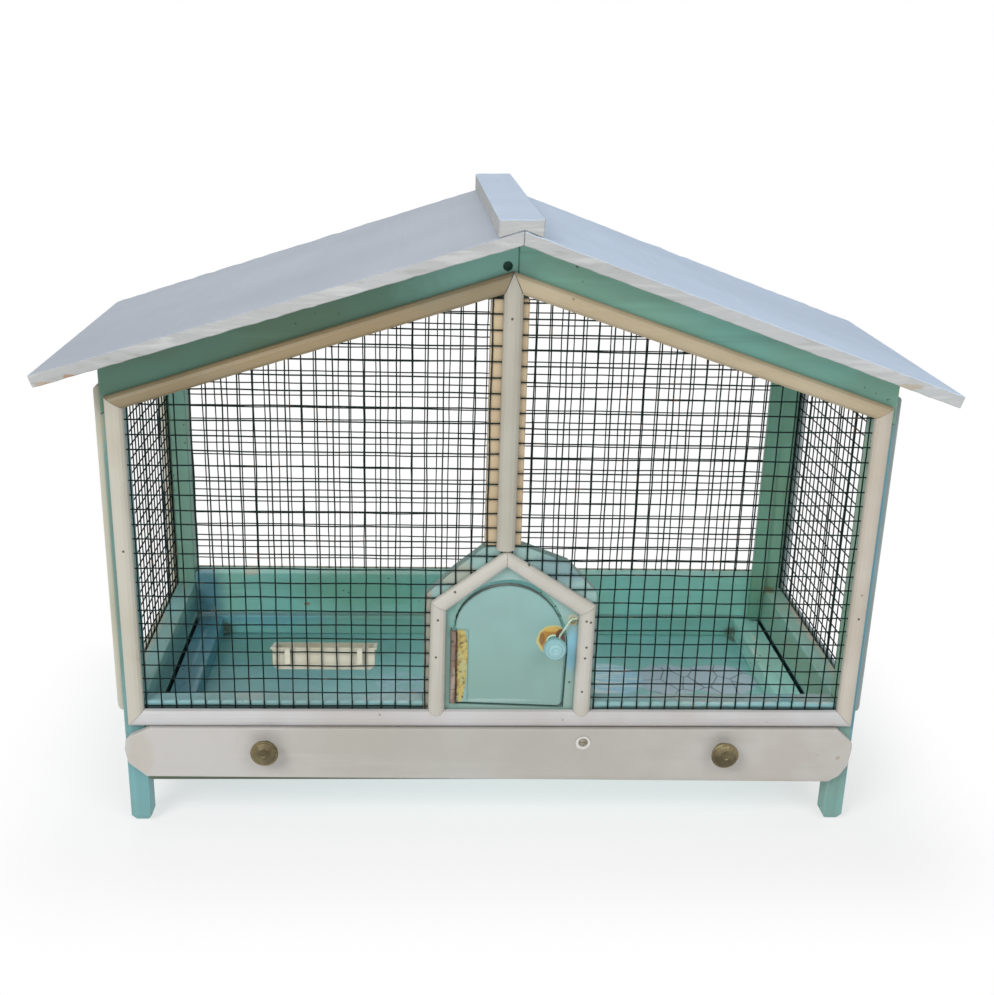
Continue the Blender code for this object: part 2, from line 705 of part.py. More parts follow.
def make_door_leaf(mint):
    corner = arc(*LEAF_CORNER, -pi / 2, 0, 3)
    outline = [(LEAF_HINGE_SIDE, LEAF_FOOT)] + corner + arch(LEAF_SIDES, LEAF_APEX, LEAF_SPRINGS)
    outline.append((LEAF_HINGE_SIDE, LEAF_SPRINGS[0] - 0.0008))
    place("door_leaf", prism(outline, "Y", LEAF_FACE, LEAF_FACE + LEAF_THICK), mint, bevel=0.0007)


def make_hinge(steel, brass):
    """Butt hinge: one leaf in the side of the doorway, the other on the face of the door."""
    foot, top = HINGE_SPAN
    pitch = (top - foot) / 5
    spans = [(foot + pitch * i + KNUCKLE_GAP / 2, foot + pitch * (i + 1) - KNUCKLE_GAP / 2) for i in range(5)]
    x, y = HINGE_PIN
    bore = KNUCKLE_RADIUS - HINGE_SHEET
    low, high = spans[0][0], spans[-1][1]
    plate = block((x - KNUCKLE_RADIUS, y, low), (x - bore, y + HINGE_PLATES[0], high))
    build_leaf("hinge_leaf_fixed", plate, spans[0::2], steel)
    plate = block((x, y + bore, low), (x + HINGE_PLATES[1], y + KNUCKLE_RADIUS, high))
    build_leaf("hinge_leaf_door", plate, spans[1::2], steel)
    pin = bmesh.new()
    bmesh.ops.create_cone(
        pin, cap_ends=True, segments=12, radius1=PIN_RADIUS, radius2=PIN_RADIUS, depth=top - foot + 0.001,
        matrix=Matrix.Translation((x, y, (top + foot) / 2)))
    shade_round(place("hinge_pin", pin, brass))


def build_leaf(name, plate, knuckles, material):
    """A hinge leaf: its plate, cleared where the other leaf turns, with barrels joined on."""
    leaf = place(name, plate, material)
    cut_knuckle_gaps(leaf, knuckles)
    for low, high in knuckles:
        add_boolean(leaf, place(name + "_barrel", barrel(low, high), material), "UNION")


def barrel(low, high):
    """One knuckle: a short tube round the pin."""
    sides = 16
    bore = KNUCKLE_RADIUS - HINGE_SHEET
    bm = bmesh.new()
    loops = []
    for radius, z in ((KNUCKLE_RADIUS, low), (KNUCKLE_RADIUS, high), (bore, high), (bore, low)):
        circle = arc(HINGE_PIN, radius, 0, 2 * pi, sides)[:-1]
        loops.append([bm.verts.new((x, y, z)) for x, y in circle])
    for first, second in zip(loops, loops[1:] + loops[:1]):
        for i in range(sides):
            j = (i + 1) % sides
            bm.faces.new((first[i], first[j], second[j], second[i]))
    return bm


def cut_knuckle_gaps(leaf, knuckles):
    """Clear the plate away where the other leaf's knuckles turn."""
    foot, top = HINGE_SPAN
    reach = KNUCKLE_RADIUS + 0.0006
    stops = [foot - 0.001] + [z for pair in knuckles for z in pair] + [top + 0.001]
    for low, high in zip(stops[0::2], stops[1::2]):
        if high - low > 0.002:
            x, y = HINGE_PIN
            notch = block((x - reach, y - reach, low), (x + reach, y + reach, high))
            cutter = place(leaf.name + "_notch", notch, leaf.data.materials[0])
            add_boolean(leaf, cutter, "DIFFERENCE")


def turned(profile, centre, segments):
    """Turn a profile of (radius, depth) points about an axis along Y, closed at both ends."""
    rings = []
    for radius, depth in profile:
        ring = []
        for i in range(segments):
            angle = 2 * pi * i / segments
            ring.append(Vector((centre[0] + radius * cos(angle), depth, centre[1] + radius * sin(angle))))
        rings.append(ring)
    return rings_to_mesh(rings)


def make_door_knob(mint):
    """Turned knob with a waisted stem, on whose foot the latch arm turns."""
    seat = LEAF_FACE - GAP
    profile = [
        (0.0046, seat), (0.0046, -0.0070), (0.0040, -0.0100), (0.0052, -0.0128), (0.0088, -0.0150),
        (0.0099, -0.0178), (0.0096, -0.0208), (0.0082, -0.0228), (0.0066, -0.0226), (0.0058, -0.0238),
        (0.0034, -0.0246), (0.0026, -0.0240),
    ]
    shade_round(place("door_knob", turned(profile, DOOR_KNOB, 20), mint), 50)


def tube(name, points, radius, material):
    """A round wire along a list of points, with closed ends."""
    curve = bpy.data.curves.new(name, "CURVE")
    curve.dimensions = "3D"
    curve.bevel_depth = radius
    curve.bevel_resolution = 1
    curve.use_fill_caps = True
    curve.materials.append(material)
    spline = curve.splines.new("POLY")
    spline.points.add(len(points) - 1)
    for spot, point in zip(spline.points, points):
        spot.co = (*point, 1.0)
    item = bpy.data.objects.new(name, curve)
    bpy.context.scene.collection.objects.link(item)
    item.parent = CAGE
    return item


def make_latch(steel):
    """A wire arm that turns on the knob's stem and drops against an eye on the door board."""
    pivot = Vector((0.0, LATCH_PLANE, 0.0))
    loop_radius = 0.0060
    arm_angle = atan2(0.0210, 0.0144)
    loop = arc((0, 0), loop_radius, arm_angle + radians(20), arm_angle + radians(340), 15)
    bend = (loop_radius + 0.0020) * Vector((cos(arm_angle - 0.14), sin(arm_angle - 0.14)))
    tip_bend = Vector((0.0144, 0.0210))
    path = [Vector(point) for point in loop]
    path += [bend, bend.lerp(tip_bend, 0.5), tip_bend - Vector((0.0009, 0.0012)), tip_bend + Vector((0.0009, 0.0004))]
    path.append(Vector((0.0191, 0.0219)))
    arm = tube("latch_arm", [Vector((p.x, 0, p.y)) for p in path], LATCH_WIRE, steel)
    arm.location = pivot + Vector((DOOR_KNOB.x, 0, DOOR_KNOB.y))

    ring = bmesh.new()
    major = 0.0026
    turns = 14
    sides = 6
    loops = []
    for i in range(turns):
        angle = 2 * pi * i / turns
        middle = Vector((LATCH_EYE.x + major * cos(angle), -GAP - LATCH_WIRE, LATCH_EYE.y + major * sin(angle)))
        out = Vector((cos(angle), 0, sin(angle)))
        loop = []
        for k in range(sides):
            around = 2 * pi * k / sides
            loop.append(ring.verts.new(middle + LATCH_WIRE * (out * cos(around) + Vector((0, sin(around), 0)))))
        loops.append(loop)
    for i in range(turns):
        first, second = loops[i], loops[(i + 1) % turns]
        for k in range(sides):
            m = (k + 1) % sides
            ring.faces.new((first[k], first[m], second[m], second[k]))
    shade_round(place("latch_eye", ring, steel))


def make_drawer_screw(front, brass):
    """A slotted screw, sunk in a shallow hole in the drawer's front."""
    floor = -GAP - DRAWER_BOARD + SCREW_HOLE_DEPTH
    hole = turned([(SCREW_HOLE_RADIUS, floor), (SCREW_HOLE_RADIUS, floor - DRAWER_BOARD)], DRAWER_SCREW, 20)
    add_boolean(front, place("screw_hole_cutter", hole, brass), "DIFFERENCE")
    rim = SCREW_HOLE_RADIUS - 2 * GAP
    seat = floor - GAP
    profile = [(rim, seat), (rim, seat - 0.0005), (rim * 0.7, seat - 0.0012), (rim * 0.25, seat - 0.0014)]
    screw = shade_round(place("drawer_screw", turned(profile, DRAWER_SCREW, 20), brass))
    middle = DRAWER_SCREW[1]
    low = (DRAWER_SCREW[0] - SCREW_HOLE_RADIUS, seat - DRAWER_BOARD, middle - SCREW_SLOT / 2)
    high = (DRAWER_SCREW[0] + SCREW_HOLE_RADIUS, seat - 0.0006, middle + SCREW_SLOT / 2)
    add_boolean(screw, place("screw_slot_cutter", block(low, high), brass), "DIFFERENCE")


def make_tray(green, cream, brass):
    """Floor, three rims, and the front board with clipped corners that closes the tray."""
    half = TRAY_HALF
    low, high = TRAY_FLOOR
    place("tray_floor", block((-half, 0.0, low), (half, TRAY_BACK, high)), green, bevel=EDGE)
    foot = high + GAP
    front_of_back_rim = TRAY_BACK - BACK_RIM
    for side, x_span in (("left", (-half, SIDE_RIM - half)), ("right", (half - SIDE_RIM, half))):
        body = block((x_span[0], 0.0, foot), (x_span[1], front_of_back_rim - GAP, TRAY_RIM_TOP))
        place("tray_rim_" + side, body, green, bevel=EDGE)
    body = block((-half, front_of_back_rim, foot), (half, TRAY_BACK, TRAY_RIM_TOP))
    place("tray_rim_back", body, green, bevel=EDGE)

    outline = [
        (-0.3060, 0.0504), (0.3040, 0.0446), (0.3135, 0.0505), (0.3205, 0.0615), (0.3224, 0.0790), (0.3215, 0.0845),
        (0.3070, 0.0978), (-0.3008, 0.0982), (-0.3185, 0.0900), (-0.3225, 0.0850), (-0.3237, 0.0766), (-0.3213, 0.0640),
    ]
    board = prism(outline, "Y", -GAP - DRAWER_BOARD, -GAP)
    front = place("drawer_front", board, cream, bevel=0.0012, segments=2)
    make_drawer_screw(front, brass)

    face = -GAP - DRAWER_BOARD - GAP
    shape = (
        (0.0062, 0.0), (0.0062, 0.0015), (0.0045, 0.0030), (0.0045, 0.0072), (0.0090, 0.0094), (0.0120, 0.0108),
        (0.0122, 0.0124), (0.0112, 0.0136), (0.0102, 0.0133), (0.0060, 0.0158), (0.0018, 0.0166), (0.0012, 0.0160),
    )
    profile = [(radius, face - depth) for radius, depth in shape]
    for side, centre in zip(("left", "right"), DRAWER_KNOBS):
        shade_round(place("drawer_knob_" + side, turned(profile, centre, 20), brass), 50)


def make_feeder(plastic):
    """Open trough, lower on the birds' side, with two hooks over a wire of the front mesh."""
    left, right = FEEDER_SIDES
    foot, back_top, front_top = FEEDER_FOOT, FEEDER_BACK_TOP, FEEDER_FRONT_TOP
    near, far = FEEDER_FACE, FEEDER_FACE + FEEDER_DEPTH
    clip = 0.0036
    outline = [
        (left + clip, foot), (right - clip, foot), (right, foot + clip), (right, back_top), (left, back_top),
        (left, foot + clip),
    ]
    trough = place("feeder", prism(outline, "Y", near, far), plastic)

    lip = 0.0017
    slope = [(near, back_top - lip), (far + lip, front_top - lip), (far + lip, front_top), (near, back_top)]
    rim = place("feeder_rim", prism(slope, "X", left - lip, right + lip), plastic)
    above = [(near - 0.001, back_top), (near, back_top), (far + lip, front_top), (far + 0.01, front_top - 0.003)]
    above += [(far + 0.01, back_top + 0.01), (near - 0.001, back_top + 0.01)]
    air = place("feeder_air", prism(above, "X", left - 0.01, right + 0.01), plastic)
    wall = FEEDER_WALL
    inner = [
        (left + clip + wall / 2, foot + wall), (right - clip - wall / 2, foot + wall), (right - wall, foot + clip + wall / 2),
        (right - wall, back_top + 0.01), (left + wall, back_top + 0.01), (left + wall, foot + clip + wall / 2),
    ]
    hollow = place("feeder_hollow", prism(inner, "Y", near + wall, far - wall), plastic)
    add_boolean(trough, rim, "UNION")
    add_boolean(trough, air, "DIFFERENCE")
    add_boolean(trough, hollow, "DIFFERENCE")

    over_wire = 0.1692
    hook = [
        (near + wall / 2, over_wire), (-0.0019, over_wire), (-0.0019, 0.1582), (-0.0034, 0.1582), (-0.0034, 0.1702),
        (-0.0024, back_top - 0.0004), (near + wall / 2, back_top - 0.0004),
    ]
    for side, x in zip(("left", "right"), HOOK_PLACES):
        piece = prism(hook, "X", x - HOOK_WIDTH / 2, x + HOOK_WIDTH / 2)
        add_boolean(trough, place("feeder_hook_" + side, piece, plastic), "UNION")


def make_cage():
    global CAGE
    clear_scene()
    CAGE = bpy.data.objects.new("cage", None)
    CAGE.location = (0.0, -ORIGIN_Y, 0.0)
    bpy.context.scene.collection.objects.link(CAGE)
    paints = make_materials()
    make_posts(paints["green"])
    make_gable_rails(paints["green"])
    make_rails(paints["green"])
    make_base(paints["green"])
    make_battens(paints["green"], paints["cream"])
    make_roof(paints["roof"])
    make_mouldings(paints["cream"])
    make_door_surround(paints["cream"])
    make_meshes(paints["mesh"])
    make_door_board(paints["mint"])
    make_door_leaf(paints["mint"])
    make_hinge(paints["steel"], paints["brass"])
    make_door_knob(paints["mint"])
    make_latch(paints["steel"])
    make_tray(paints["green"], paints["cream"], paints["brass"])
    make_feeder(paints["plastic"])
    hang("door_hinge", (*HINGE_PIN, LEAF_FOOT), "door_leaf", "hinge_leaf_door", "door_knob", "latch_arm")
    hang("feeder_lift", (sum(HOOK_PLACES) / 2, FEEDER_FACE, FEEDER_BACK_TOP), "feeder")
    tray = ("tray_floor", "tray_rim_left", "tray_rim_right", "tray_rim_back", "drawer_front")
    hang("tray_slide", (0, 0, TRAY_FLOOR[0]), *tray, "drawer_knob_left", "drawer_knob_right", "drawer_screw")


make_cage()
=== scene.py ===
# %% [markdown]
# # A painted bird cage
# This notebook dresses the working model of a small wooden bird cage: brushed paint that has
# faded and chipped, half-round moulding, fine welded wire, old brass and a plastic seed trough.
# The working model comes first. Its pieces already have their real sizes and places, so the
# notebook only adds finishes and the shapes that are too fine for a model that has to move.

from math import atan2, cos, pi, radians, sin

import bmesh
import bpy
from mathutils import Matrix, Vector, noise


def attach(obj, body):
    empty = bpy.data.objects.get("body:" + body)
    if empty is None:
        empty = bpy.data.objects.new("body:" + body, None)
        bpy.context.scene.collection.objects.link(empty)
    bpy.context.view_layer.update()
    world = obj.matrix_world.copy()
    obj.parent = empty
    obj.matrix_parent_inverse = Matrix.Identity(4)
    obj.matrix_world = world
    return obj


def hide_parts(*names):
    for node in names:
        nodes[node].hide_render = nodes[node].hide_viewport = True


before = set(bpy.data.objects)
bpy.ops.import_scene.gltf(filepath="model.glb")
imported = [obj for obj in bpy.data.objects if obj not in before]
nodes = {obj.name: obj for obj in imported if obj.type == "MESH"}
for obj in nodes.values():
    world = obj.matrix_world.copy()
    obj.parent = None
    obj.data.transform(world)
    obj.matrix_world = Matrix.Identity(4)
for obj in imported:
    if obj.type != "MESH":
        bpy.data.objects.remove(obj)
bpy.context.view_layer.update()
FORWARD = -0.131  # the cage's front face, measured from the middle of its footprint

# %% [markdown]
# ## The camera
# A photograph can be matched by solving for the camera that took it: here the squares of the
# wire mesh, which are all the same size, gave its place, its turn and its focal length. The
# lens's centre came out a little off the picture's centre, as it does in a picture that was cut
# down, and the two small shift values put that right.

# %% Camera
TURN, TILT, LEAN = radians(3.04), radians(19.96), radians(1.54)
CAMERA_PLACE = (-0.0672, -1.02357 + FORWARD, 0.64446)
SENSOR_WIDTH = 36
IMAGE_WIDTH, IMAGE_HEIGHT = 994, 995
FOCAL_PIXELS = 1297.01
LENS_CENTRE = (484.78, 540.0)

look = Vector((sin(TURN) * cos(TILT), cos(TURN) * cos(TILT), -sin(TILT)))
level = Vector((cos(TURN), -sin(TURN), 0))
upright = level.cross(look)
right_of_view = level * cos(LEAN) + upright * sin(LEAN)
top_of_view = upright * cos(LEAN) - level * sin(LEAN)
facing = Matrix((right_of_view, top_of_view, -look)).transposed().to_4x4()

lens = bpy.data.cameras.new("camera")
lens.sensor_fit = "HORIZONTAL"
lens.sensor_width = SENSOR_WIDTH
lens.lens = FOCAL_PIXELS * SENSOR_WIDTH / IMAGE_WIDTH
lens.shift_x = (IMAGE_WIDTH / 2 - LENS_CENTRE[0]) / IMAGE_WIDTH
lens.shift_y = (LENS_CENTRE[1] - IMAGE_HEIGHT / 2) / IMAGE_WIDTH
camera = bpy.data.objects.new("camera", lens)
camera.matrix_world = Matrix.Translation(CAMERA_PLACE) @ facing
bpy.context.scene.collection.objects.link(camera)
bpy.context.scene.camera = camera
print("camera", round(lens.lens, 2), "mm at", tuple(round(v, 3) for v in camera.location))

# %% [markdown]
# ## Light and background
# A studio sweep is a pale floor that runs up behind the object. Here the floor is a plain plane
# and the world behind it is white to the camera, and to anything shiny, while its light on the
# object stays gentle. The roof shades the tray, so light has to come in through the mesh: the
# key lamp in front, up on the left, reaches the tray and rounds the mouldings, and the lamp
# behind comes in over the rear rail. A weaker one on the right keeps the shaded sides open.

# %% Lamps and world
scene = bpy.context.scene
scene.view_settings.view_transform = "Standard"


def area_lamp(name, place, aim, size, power, colour):
    """A soft square lamp that faces a point."""
    light = bpy.data.lights.new(name, "AREA")
    light.shape = "SQUARE"
    light.size = size
    light.energy = power
    light.color = colour
    lamp = bpy.data.objects.new(name, light)
    lamp.location = place
    lamp.rotation_euler = (Vector(aim) - Vector(place)).to_track_quat("-Z", "Y").to_euler()
    scene.collection.objects.link(lamp)


MESH_MIDDLE, TRAY_MIDDLE = (0, 0, 0.2), (0, 0, 0.1)
WARM, WARMISH, COOL = (1.0, 0.985, 0.96), (1.0, 0.99, 0.97), (0.96, 0.98, 1.0)
area_lamp("key_lamp", (-1.5, -2.0, 2.0), MESH_MIDDLE, size=1.3, power=48, colour=WARM)
area_lamp("front_lamp", (1.0, -1.9, 1.9), MESH_MIDDLE, size=1.5, power=22, colour=WARMISH)
area_lamp("back_lamp", (-0.4, 1.9, 1.6), TRAY_MIDDLE, size=1.6, power=11, colour=COOL)

world = bpy.data.worlds.new("studio")
world.use_nodes = True
scene.world = world
sky = world.node_tree
sky.nodes.clear()


def background(colour, strength):
    """One Background node of the world."""
    made = sky.nodes.new("ShaderNodeBackground")
    made.inputs["Color"].default_value = colour
    made.inputs["Strength"].default_value = strength
    return made


lighting = background((0.94, 0.97, 1.0, 1.0), 0.30)
seen = background((1.0, 1.0, 1.0, 1.0), 1.0)
rays = sky.nodes.new("ShaderNodeLightPath")
shown = sky.nodes.new("ShaderNodeMath")
shown.operation = "MAXIMUM"
mixed = sky.nodes.new("ShaderNodeMixShader")
output = sky.nodes.new("ShaderNodeOutputWorld")
sky.links.new(rays.outputs["Is Camera Ray"], shown.inputs[0])
sky.links.new(rays.outputs["Is Glossy Ray"], shown.inputs[1])
sky.links.new(shown.outputs[0], mixed.inputs[0])
sky.links.new(lighting.outputs[0], mixed.inputs[1])
sky.links.new(seen.outputs[0], mixed.inputs[2])
sky.links.new(mixed.outputs[0], output.inputs["Surface"])

# %% [markdown]
# ## Shader sums written as Python
# A node tree is easier to read as a formula. `Value` wraps one socket, so `a * b + 0.2` adds
# the Math nodes, and `Recipe.node` makes any other node from its settings and its inputs.
# Colours go through the Mix node instead, because a Math node would turn them grey.

# %% Shader helpers


def srgb(red, green, blue):
    """A colour as it reads on a screen, 0 to 255, as the linear colour that shaders use."""
    def linear(value):
        value /= 255
        return value / 12.92 if value <= 0.04045 else ((value + 0.055) / 1.055) ** 2.4
    return (linear(red), linear(green), linear(blue), 1.0)


def toned(tone, factor, lift=(0, 0, 0)):
    """A lighter or darker neighbour of a tone, still 0 to 255."""
    return srgb(*(max(0, min(255, part * factor + more)) for part, more in zip(tone, lift)))


class Value:
    """One output socket, with sums as Python operators."""

    def __init__(self, recipe, socket):
        self.recipe = recipe
        self.socket = socket

    def sum(self, operation, first, second=None, clamp=False):
        inputs = {0: first} if second is None else {0: first, 1: second}
        return self.recipe.node("Math", {"operation": operation, "use_clamp": clamp}, inputs)

    def __add__(self, other):
        return self.sum("ADD", self, other)

    __radd__ = __add__

    def __sub__(self, other):
        return self.sum("SUBTRACT", self, other)

    def __rsub__(self, other):
        return self.sum("SUBTRACT", other, self)

    def __mul__(self, other):
        return self.sum("MULTIPLY", self, other)

    def __truediv__(self, other):
        return self.sum("DIVIDE", self, other)

    def above(self, other):
        return self.sum("MAXIMUM", self, other)

    def size(self):
        return self.sum("ABSOLUTE", self)

    def root(self):
        return self.sum("SQRT", self)

    def clamped(self):
        return self.sum("ADD", self, 0.0, clamp=True)

    def ramp(self, start, end, low=0.0, high=1.0):
        """Rise smoothly from low to high as the value goes from start to end."""
        settings = {"interpolation_type": "SMOOTHSTEP"}
        values = {"Value": self, "From Min": start, "From Max": end, "To Min": low, "To Max": high}
        return self.recipe.node("MapRange", settings, values)


class Recipe:
    """A material under construction: a Principled shader and the nodes that feed it."""

    def __init__(self, name):
        self.material = bpy.data.materials.new(name)
        self.material.use_nodes = True
        self.tree = self.material.node_tree
        self.shader = self.tree.nodes["Principled BSDF"]
        self.place = self.node("TexCoord", output="Object")
        parts = self.node("SeparateXYZ", {}, {0: self.place}, output=None)
        self.x, self.y, self.z = (Value(self, parts.outputs[i]) for i in range(3))

    def node(self, kind, settings=None, inputs=None, output=0):
        """Add a node: its settings first, then the number, colour or link of each input."""
        made = self.tree.nodes.new("ShaderNode" + kind)
        for key, value in (settings or {}).items():
            setattr(made, key, value)
        for key, value in (inputs or {}).items():
            if isinstance(value, Value):
                self.tree.links.new(value.socket, made.inputs[key])
            else:
                made.inputs[key].default_value = value
        return made if output is None else Value(self, made.outputs[output])

    def mix(self, amount, first, second):
        """Blend two colours: amount 0 keeps the first, 1 gives the second."""
        return self.node("Mix", {"data_type": "RGBA"}, {0: amount, 6: first, 7: second}, output=2)

    def scaled(self, x, y, z, turn=(0, 0, 0)):
        """The place on the piece, stretched and turned."""
        inputs = {"Vector": self.place, "Scale": (x, y, z), "Rotation": turn}
        return self.node("Mapping", {"vector_type": "POINT"}, inputs)

    def clouds(self, place, scale, detail=3.0, roughness=0.55, distortion=0.0):
        """Soft random values round 0.5."""
        inputs = {"Vector": place, "Scale": scale, "Detail": detail, "Roughness": roughness}
        inputs["Distortion"] = distortion
        return self.node("TexNoise", {"noise_dimensions": "3D"}, inputs)

    def cells(self, place, scale, feature="F1"):
        """Voronoi cells: the distance to a cell's middle, or to its edge."""
        inputs = {"Vector": place, "Scale": scale}
        return self.node("TexVoronoi", {"feature": feature}, inputs)

    def patch(self, centre, radii, ragged=0.35, scale=90.0, soft=0.08):
        """1 inside a ragged oval round a point of the cage, and 0 outside it."""
        x = (self.x - centre[0]) / radii[0]
        y = (self.y - (centre[1] + FORWARD)) / radii[1]
        z = (self.z - centre[2]) / radii[2]
        distance = (x * x + y * y + z * z).root()
        edge = distance + (self.clouds(self.place, scale, 3.0) - 0.5) * (2 * ragged)
        return edge.ramp(1.0 + soft, 1.0 - soft)

    def marked(self, colour, marks):
        """Lay each mark over a colour: its tone, place, radii, strength, raggedness and softness."""
        for tone, centre, radii, strength, ragged, soft in marks:
            amount = self.patch(centre, radii, ragged, soft=soft) * strength
            colour = self.mix(amount, colour, srgb(*tone))
        return colour

    def dots(self, places, radius):
        """1 at each small dark hole: a round spot on the front, whatever its depth."""
        total = None
        for x, z in places:
            across, up = self.x - x, self.z - z
            distance = (across * across + up * up).root()
            spot = distance.ramp(radius, radius * 0.55)
            total = spot if total is None else total.above(spot)
        return total

    def finish(self, colour, roughness, bump=None, bump_depth=0.0003, metallic=0.0, coat=0.0):
        """Wire the results to the shader."""
        results = {"Base Color": colour, "Roughness": roughness, "Metallic": metallic, "Coat Weight": coat}
        if bump is not None:
            inputs = {"Height": bump, "Distance": bump_depth, "Strength": 1.0}
            results["Normal"] = self.node("Bump", {}, inputs)
        for key, value in results.items():
            if isinstance(value, Value):
                self.tree.links.new(value.socket, self.shader.inputs[key])
            else:
                self.shader.inputs[key].default_value = value
        return self.material


def dress(names, material):
    """Give carried-over pieces a finish."""
    for name in names:
        piece = nodes[name]
        piece.data.materials.clear()
        piece.data.materials.append(material)


# %% [markdown]
# ## Weathered green paint
# Every corner also gets a lighter band of its own colour, which is a painted highlight.
# The frame was brushed with turquoise paint over softwood. Old paint never keeps one colour:
# it fades where light reaches it, goes grey-green where hands do, and shows the primer or the
# wood where it has been knocked. So most pieces get a tone of their own, broken up by three
# layers: brush streaks along the grain, slow clouds, and small worn places on the corners.
# Single marks, such as a rust spot or a scuff, are ovals with ragged edges. Each is a line of
# its tone, its middle, its three radii, its strength, its raggedness and its softness.

# %% Green paint
WOOD_GRAIN = {"x": (3.0, 60.0, 60.0), "y": (60.0, 3.0, 60.0), "z": (60.0, 60.0, 3.0)}
PRIMER = (176, 178, 160)
BARE_WOOD = (150, 128, 96)
GRIME = (58, 62, 48)
CHIPPING = 0.6


def edge_mask(recipe, radius):
    """Bright where the surface turns a corner: a rounded normal differs from the real one."""
    soft = recipe.node("Bevel", {"samples": 4}, {"Radius": radius})
    true = recipe.node("NewGeometry", output="True Normal")
    settings = {"operation": "DOT_PRODUCT"}
    match = recipe.node("VectorMath", settings, {0: soft, 1: true}, output="Value")
    return (1.0 - match).ramp(0.02, 0.22)


def green_paint(name, grain, tone, marks=(), turn=0.0):
    """Brushed turquoise paint; tone is the piece's own colour."""
    recipe = Recipe(name)
    stretched = recipe.scaled(*WOOD_GRAIN[grain], turn=(0, turn, 0))
    streaks = recipe.clouds(stretched, 1.0, 5.0, 0.6, 0.5)
    slow = recipe.clouds(recipe.place, 9.0, 4.0)
    fine = recipe.clouds(recipe.place, 190.0, 4.0)
    clean, faded = toned(tone, 1.04, (-4, 2, 2)), toned(tone, 0.95, (6, 2, -6))
    colour = recipe.mix(slow.ramp(0.32, 0.66), clean, faded)
    colour = recipe.mix(streaks.ramp(0.52, 0.74) * 0.45, colour, toned(tone, 1.12, (4, 4, 4)))
    colour = recipe.mix(streaks.ramp(0.46, 0.26) * 0.5, colour, toned(tone, 0.80))
    colour = recipe.marked(colour, marks)
    corners = edge_mask(recipe, 0.0016)
    worn = corners * fine.ramp(0.44, 0.60) * CHIPPING
    flake = recipe.cells(recipe.place, 95.0).ramp(0.13, 0.07) * slow.ramp(0.52, 0.60)
    # A lighter band of the same colour along every corner is a painted highlight.
    colour = recipe.mix(corners * 0.25, colour, toned(tone, 1.25, (8, 8, 8)))
    under = recipe.mix(fine.ramp(0.45, 0.6), srgb(*PRIMER), srgb(*BARE_WOOD))
    colour = recipe.mix(worn, colour, under)
    colour = recipe.mix(flake * 0.8, colour, srgb(*GRIME))
    relief = streaks * 0.55 + fine * 0.3 - worn * 0.4 - flake * 0.8
    return recipe.finish(colour, 0.40 + slow * 0.2 + worn * 0.25, relief, 0.0006)


GABLE_RISE, LEFT_RUN, RIGHT_RUN = 0.0985, 0.31, 0.3015
SLOPE_LEFT, SLOPE_RIGHT = atan2(GABLE_RISE, LEFT_RUN), -atan2(GABLE_RISE, RIGHT_RUN)
TEAL, SAGE = (108, 156, 146), (112, 160, 146)
# SLOT_SHADE and SLOT_DARK are painted shadow: the tray runners and the narrow slots beside the tray get them
# because those places lie in shade.
SLOT_SHADE, SLOT_DARK = (52, 82, 80), (10, 42, 50)
green_tones = {
    "back_left_post": ("z", (128, 176, 164)), "back_right_post": ("z", (126, 174, 152)),
    "back_corner_batten": ("z", (120, 170, 150)), "side_top_rail_left": ("y", SAGE),
    "side_top_rail_right": ("y", SAGE), "back_base_rail": ("x", TEAL),
    "tray_runner_left": ("y", SLOT_SHADE), "tray_runner_right": ("y", SLOT_SHADE),
}
for name, (grain, tone) in green_tones.items():
    dress([name], green_paint("green_" + name, grain, tone))

# The two front posts have sides of other colours than their fronts.
POST_OUT, POST_IN, POST_DEEP = 0.325, 0.305, 0.009
outer_left = [
    ((104, 134, 122), (-POST_OUT, POST_DEEP, 0.260), (0.004, 0.06, 0.150), 0.9, 0.4, 0.2),
    ((158, 152, 118), (-POST_OUT, POST_DEEP, 0.365), (0.004, 0.06, 0.018), 0.7, 0.8, 0.3),
]
dress(["front_left_post"], green_paint("green_front_left_post", "z", (108, 151, 155), outer_left))
sides_right = [
    ((92, 146, 166), (POST_OUT, POST_DEEP, 0.220), (0.004, 0.06, 0.200), 0.9, 0.4, 0.2),
    ((150, 182, 156), (POST_IN, POST_DEEP, 0.240), (0.003, 0.06, 0.150), 0.9, 0.4, 0.2),
]
dress(["front_right_post"], green_paint("green_front_right_post", "z", (116, 158, 156), sides_right))

# The left gable board hangs in the shade of the roof, so it is painted darker, as painted shade, except near
# the ridge.
ridge_tone = [((118, 169, 156), (0.006, 0.0, 0.510), (0.075, 0.04, 0.08), 1.0, 0.3, 0.6)]
gable_tones = {"front": ((86, 122, 106), (118, 169, 156)), "back": (SAGE, SAGE)}
for end, (left_tone, right_tone) in gable_tones.items():
    dress([end + "_gable_rail_left"],
          green_paint("green_" + end + "_left_slope", "x", left_tone, ridge_tone, SLOPE_LEFT))
    dress([end + "_gable_rail_right"],
          green_paint("green_" + end + "_right_slope", "x", right_tone, turn=SLOPE_RIGHT))

REAR_FACE = 0.272
rear_marks = [
    ((78, 128, 158), (-0.300, REAR_FACE, 0.110), (0.022, 0.02, 0.040), 0.75, 0.30, 0.40),
    ((206, 200, 178), (-0.246, REAR_FACE, 0.1335), (0.009, 0.02, 0.0022), 0.7, 0.90, 0.15),
    ((170, 118, 74), (-0.188, REAR_FACE, 0.0985), (0.0035, 0.02, 0.0020), 0.8, 0.60, 0.30),
    ((120, 188, 162), (-0.120, REAR_FACE, 0.116), (0.080, 0.02, 0.018), 0.6, 0.50, 0.50),
    ((112, 178, 186), (0.020, REAR_FACE, 0.122), (0.090, 0.02, 0.012), 0.5, 0.50, 0.50),
]
rear_rail_paint = green_paint("green_rear_rail", "x", (150, 210, 200), rear_marks)

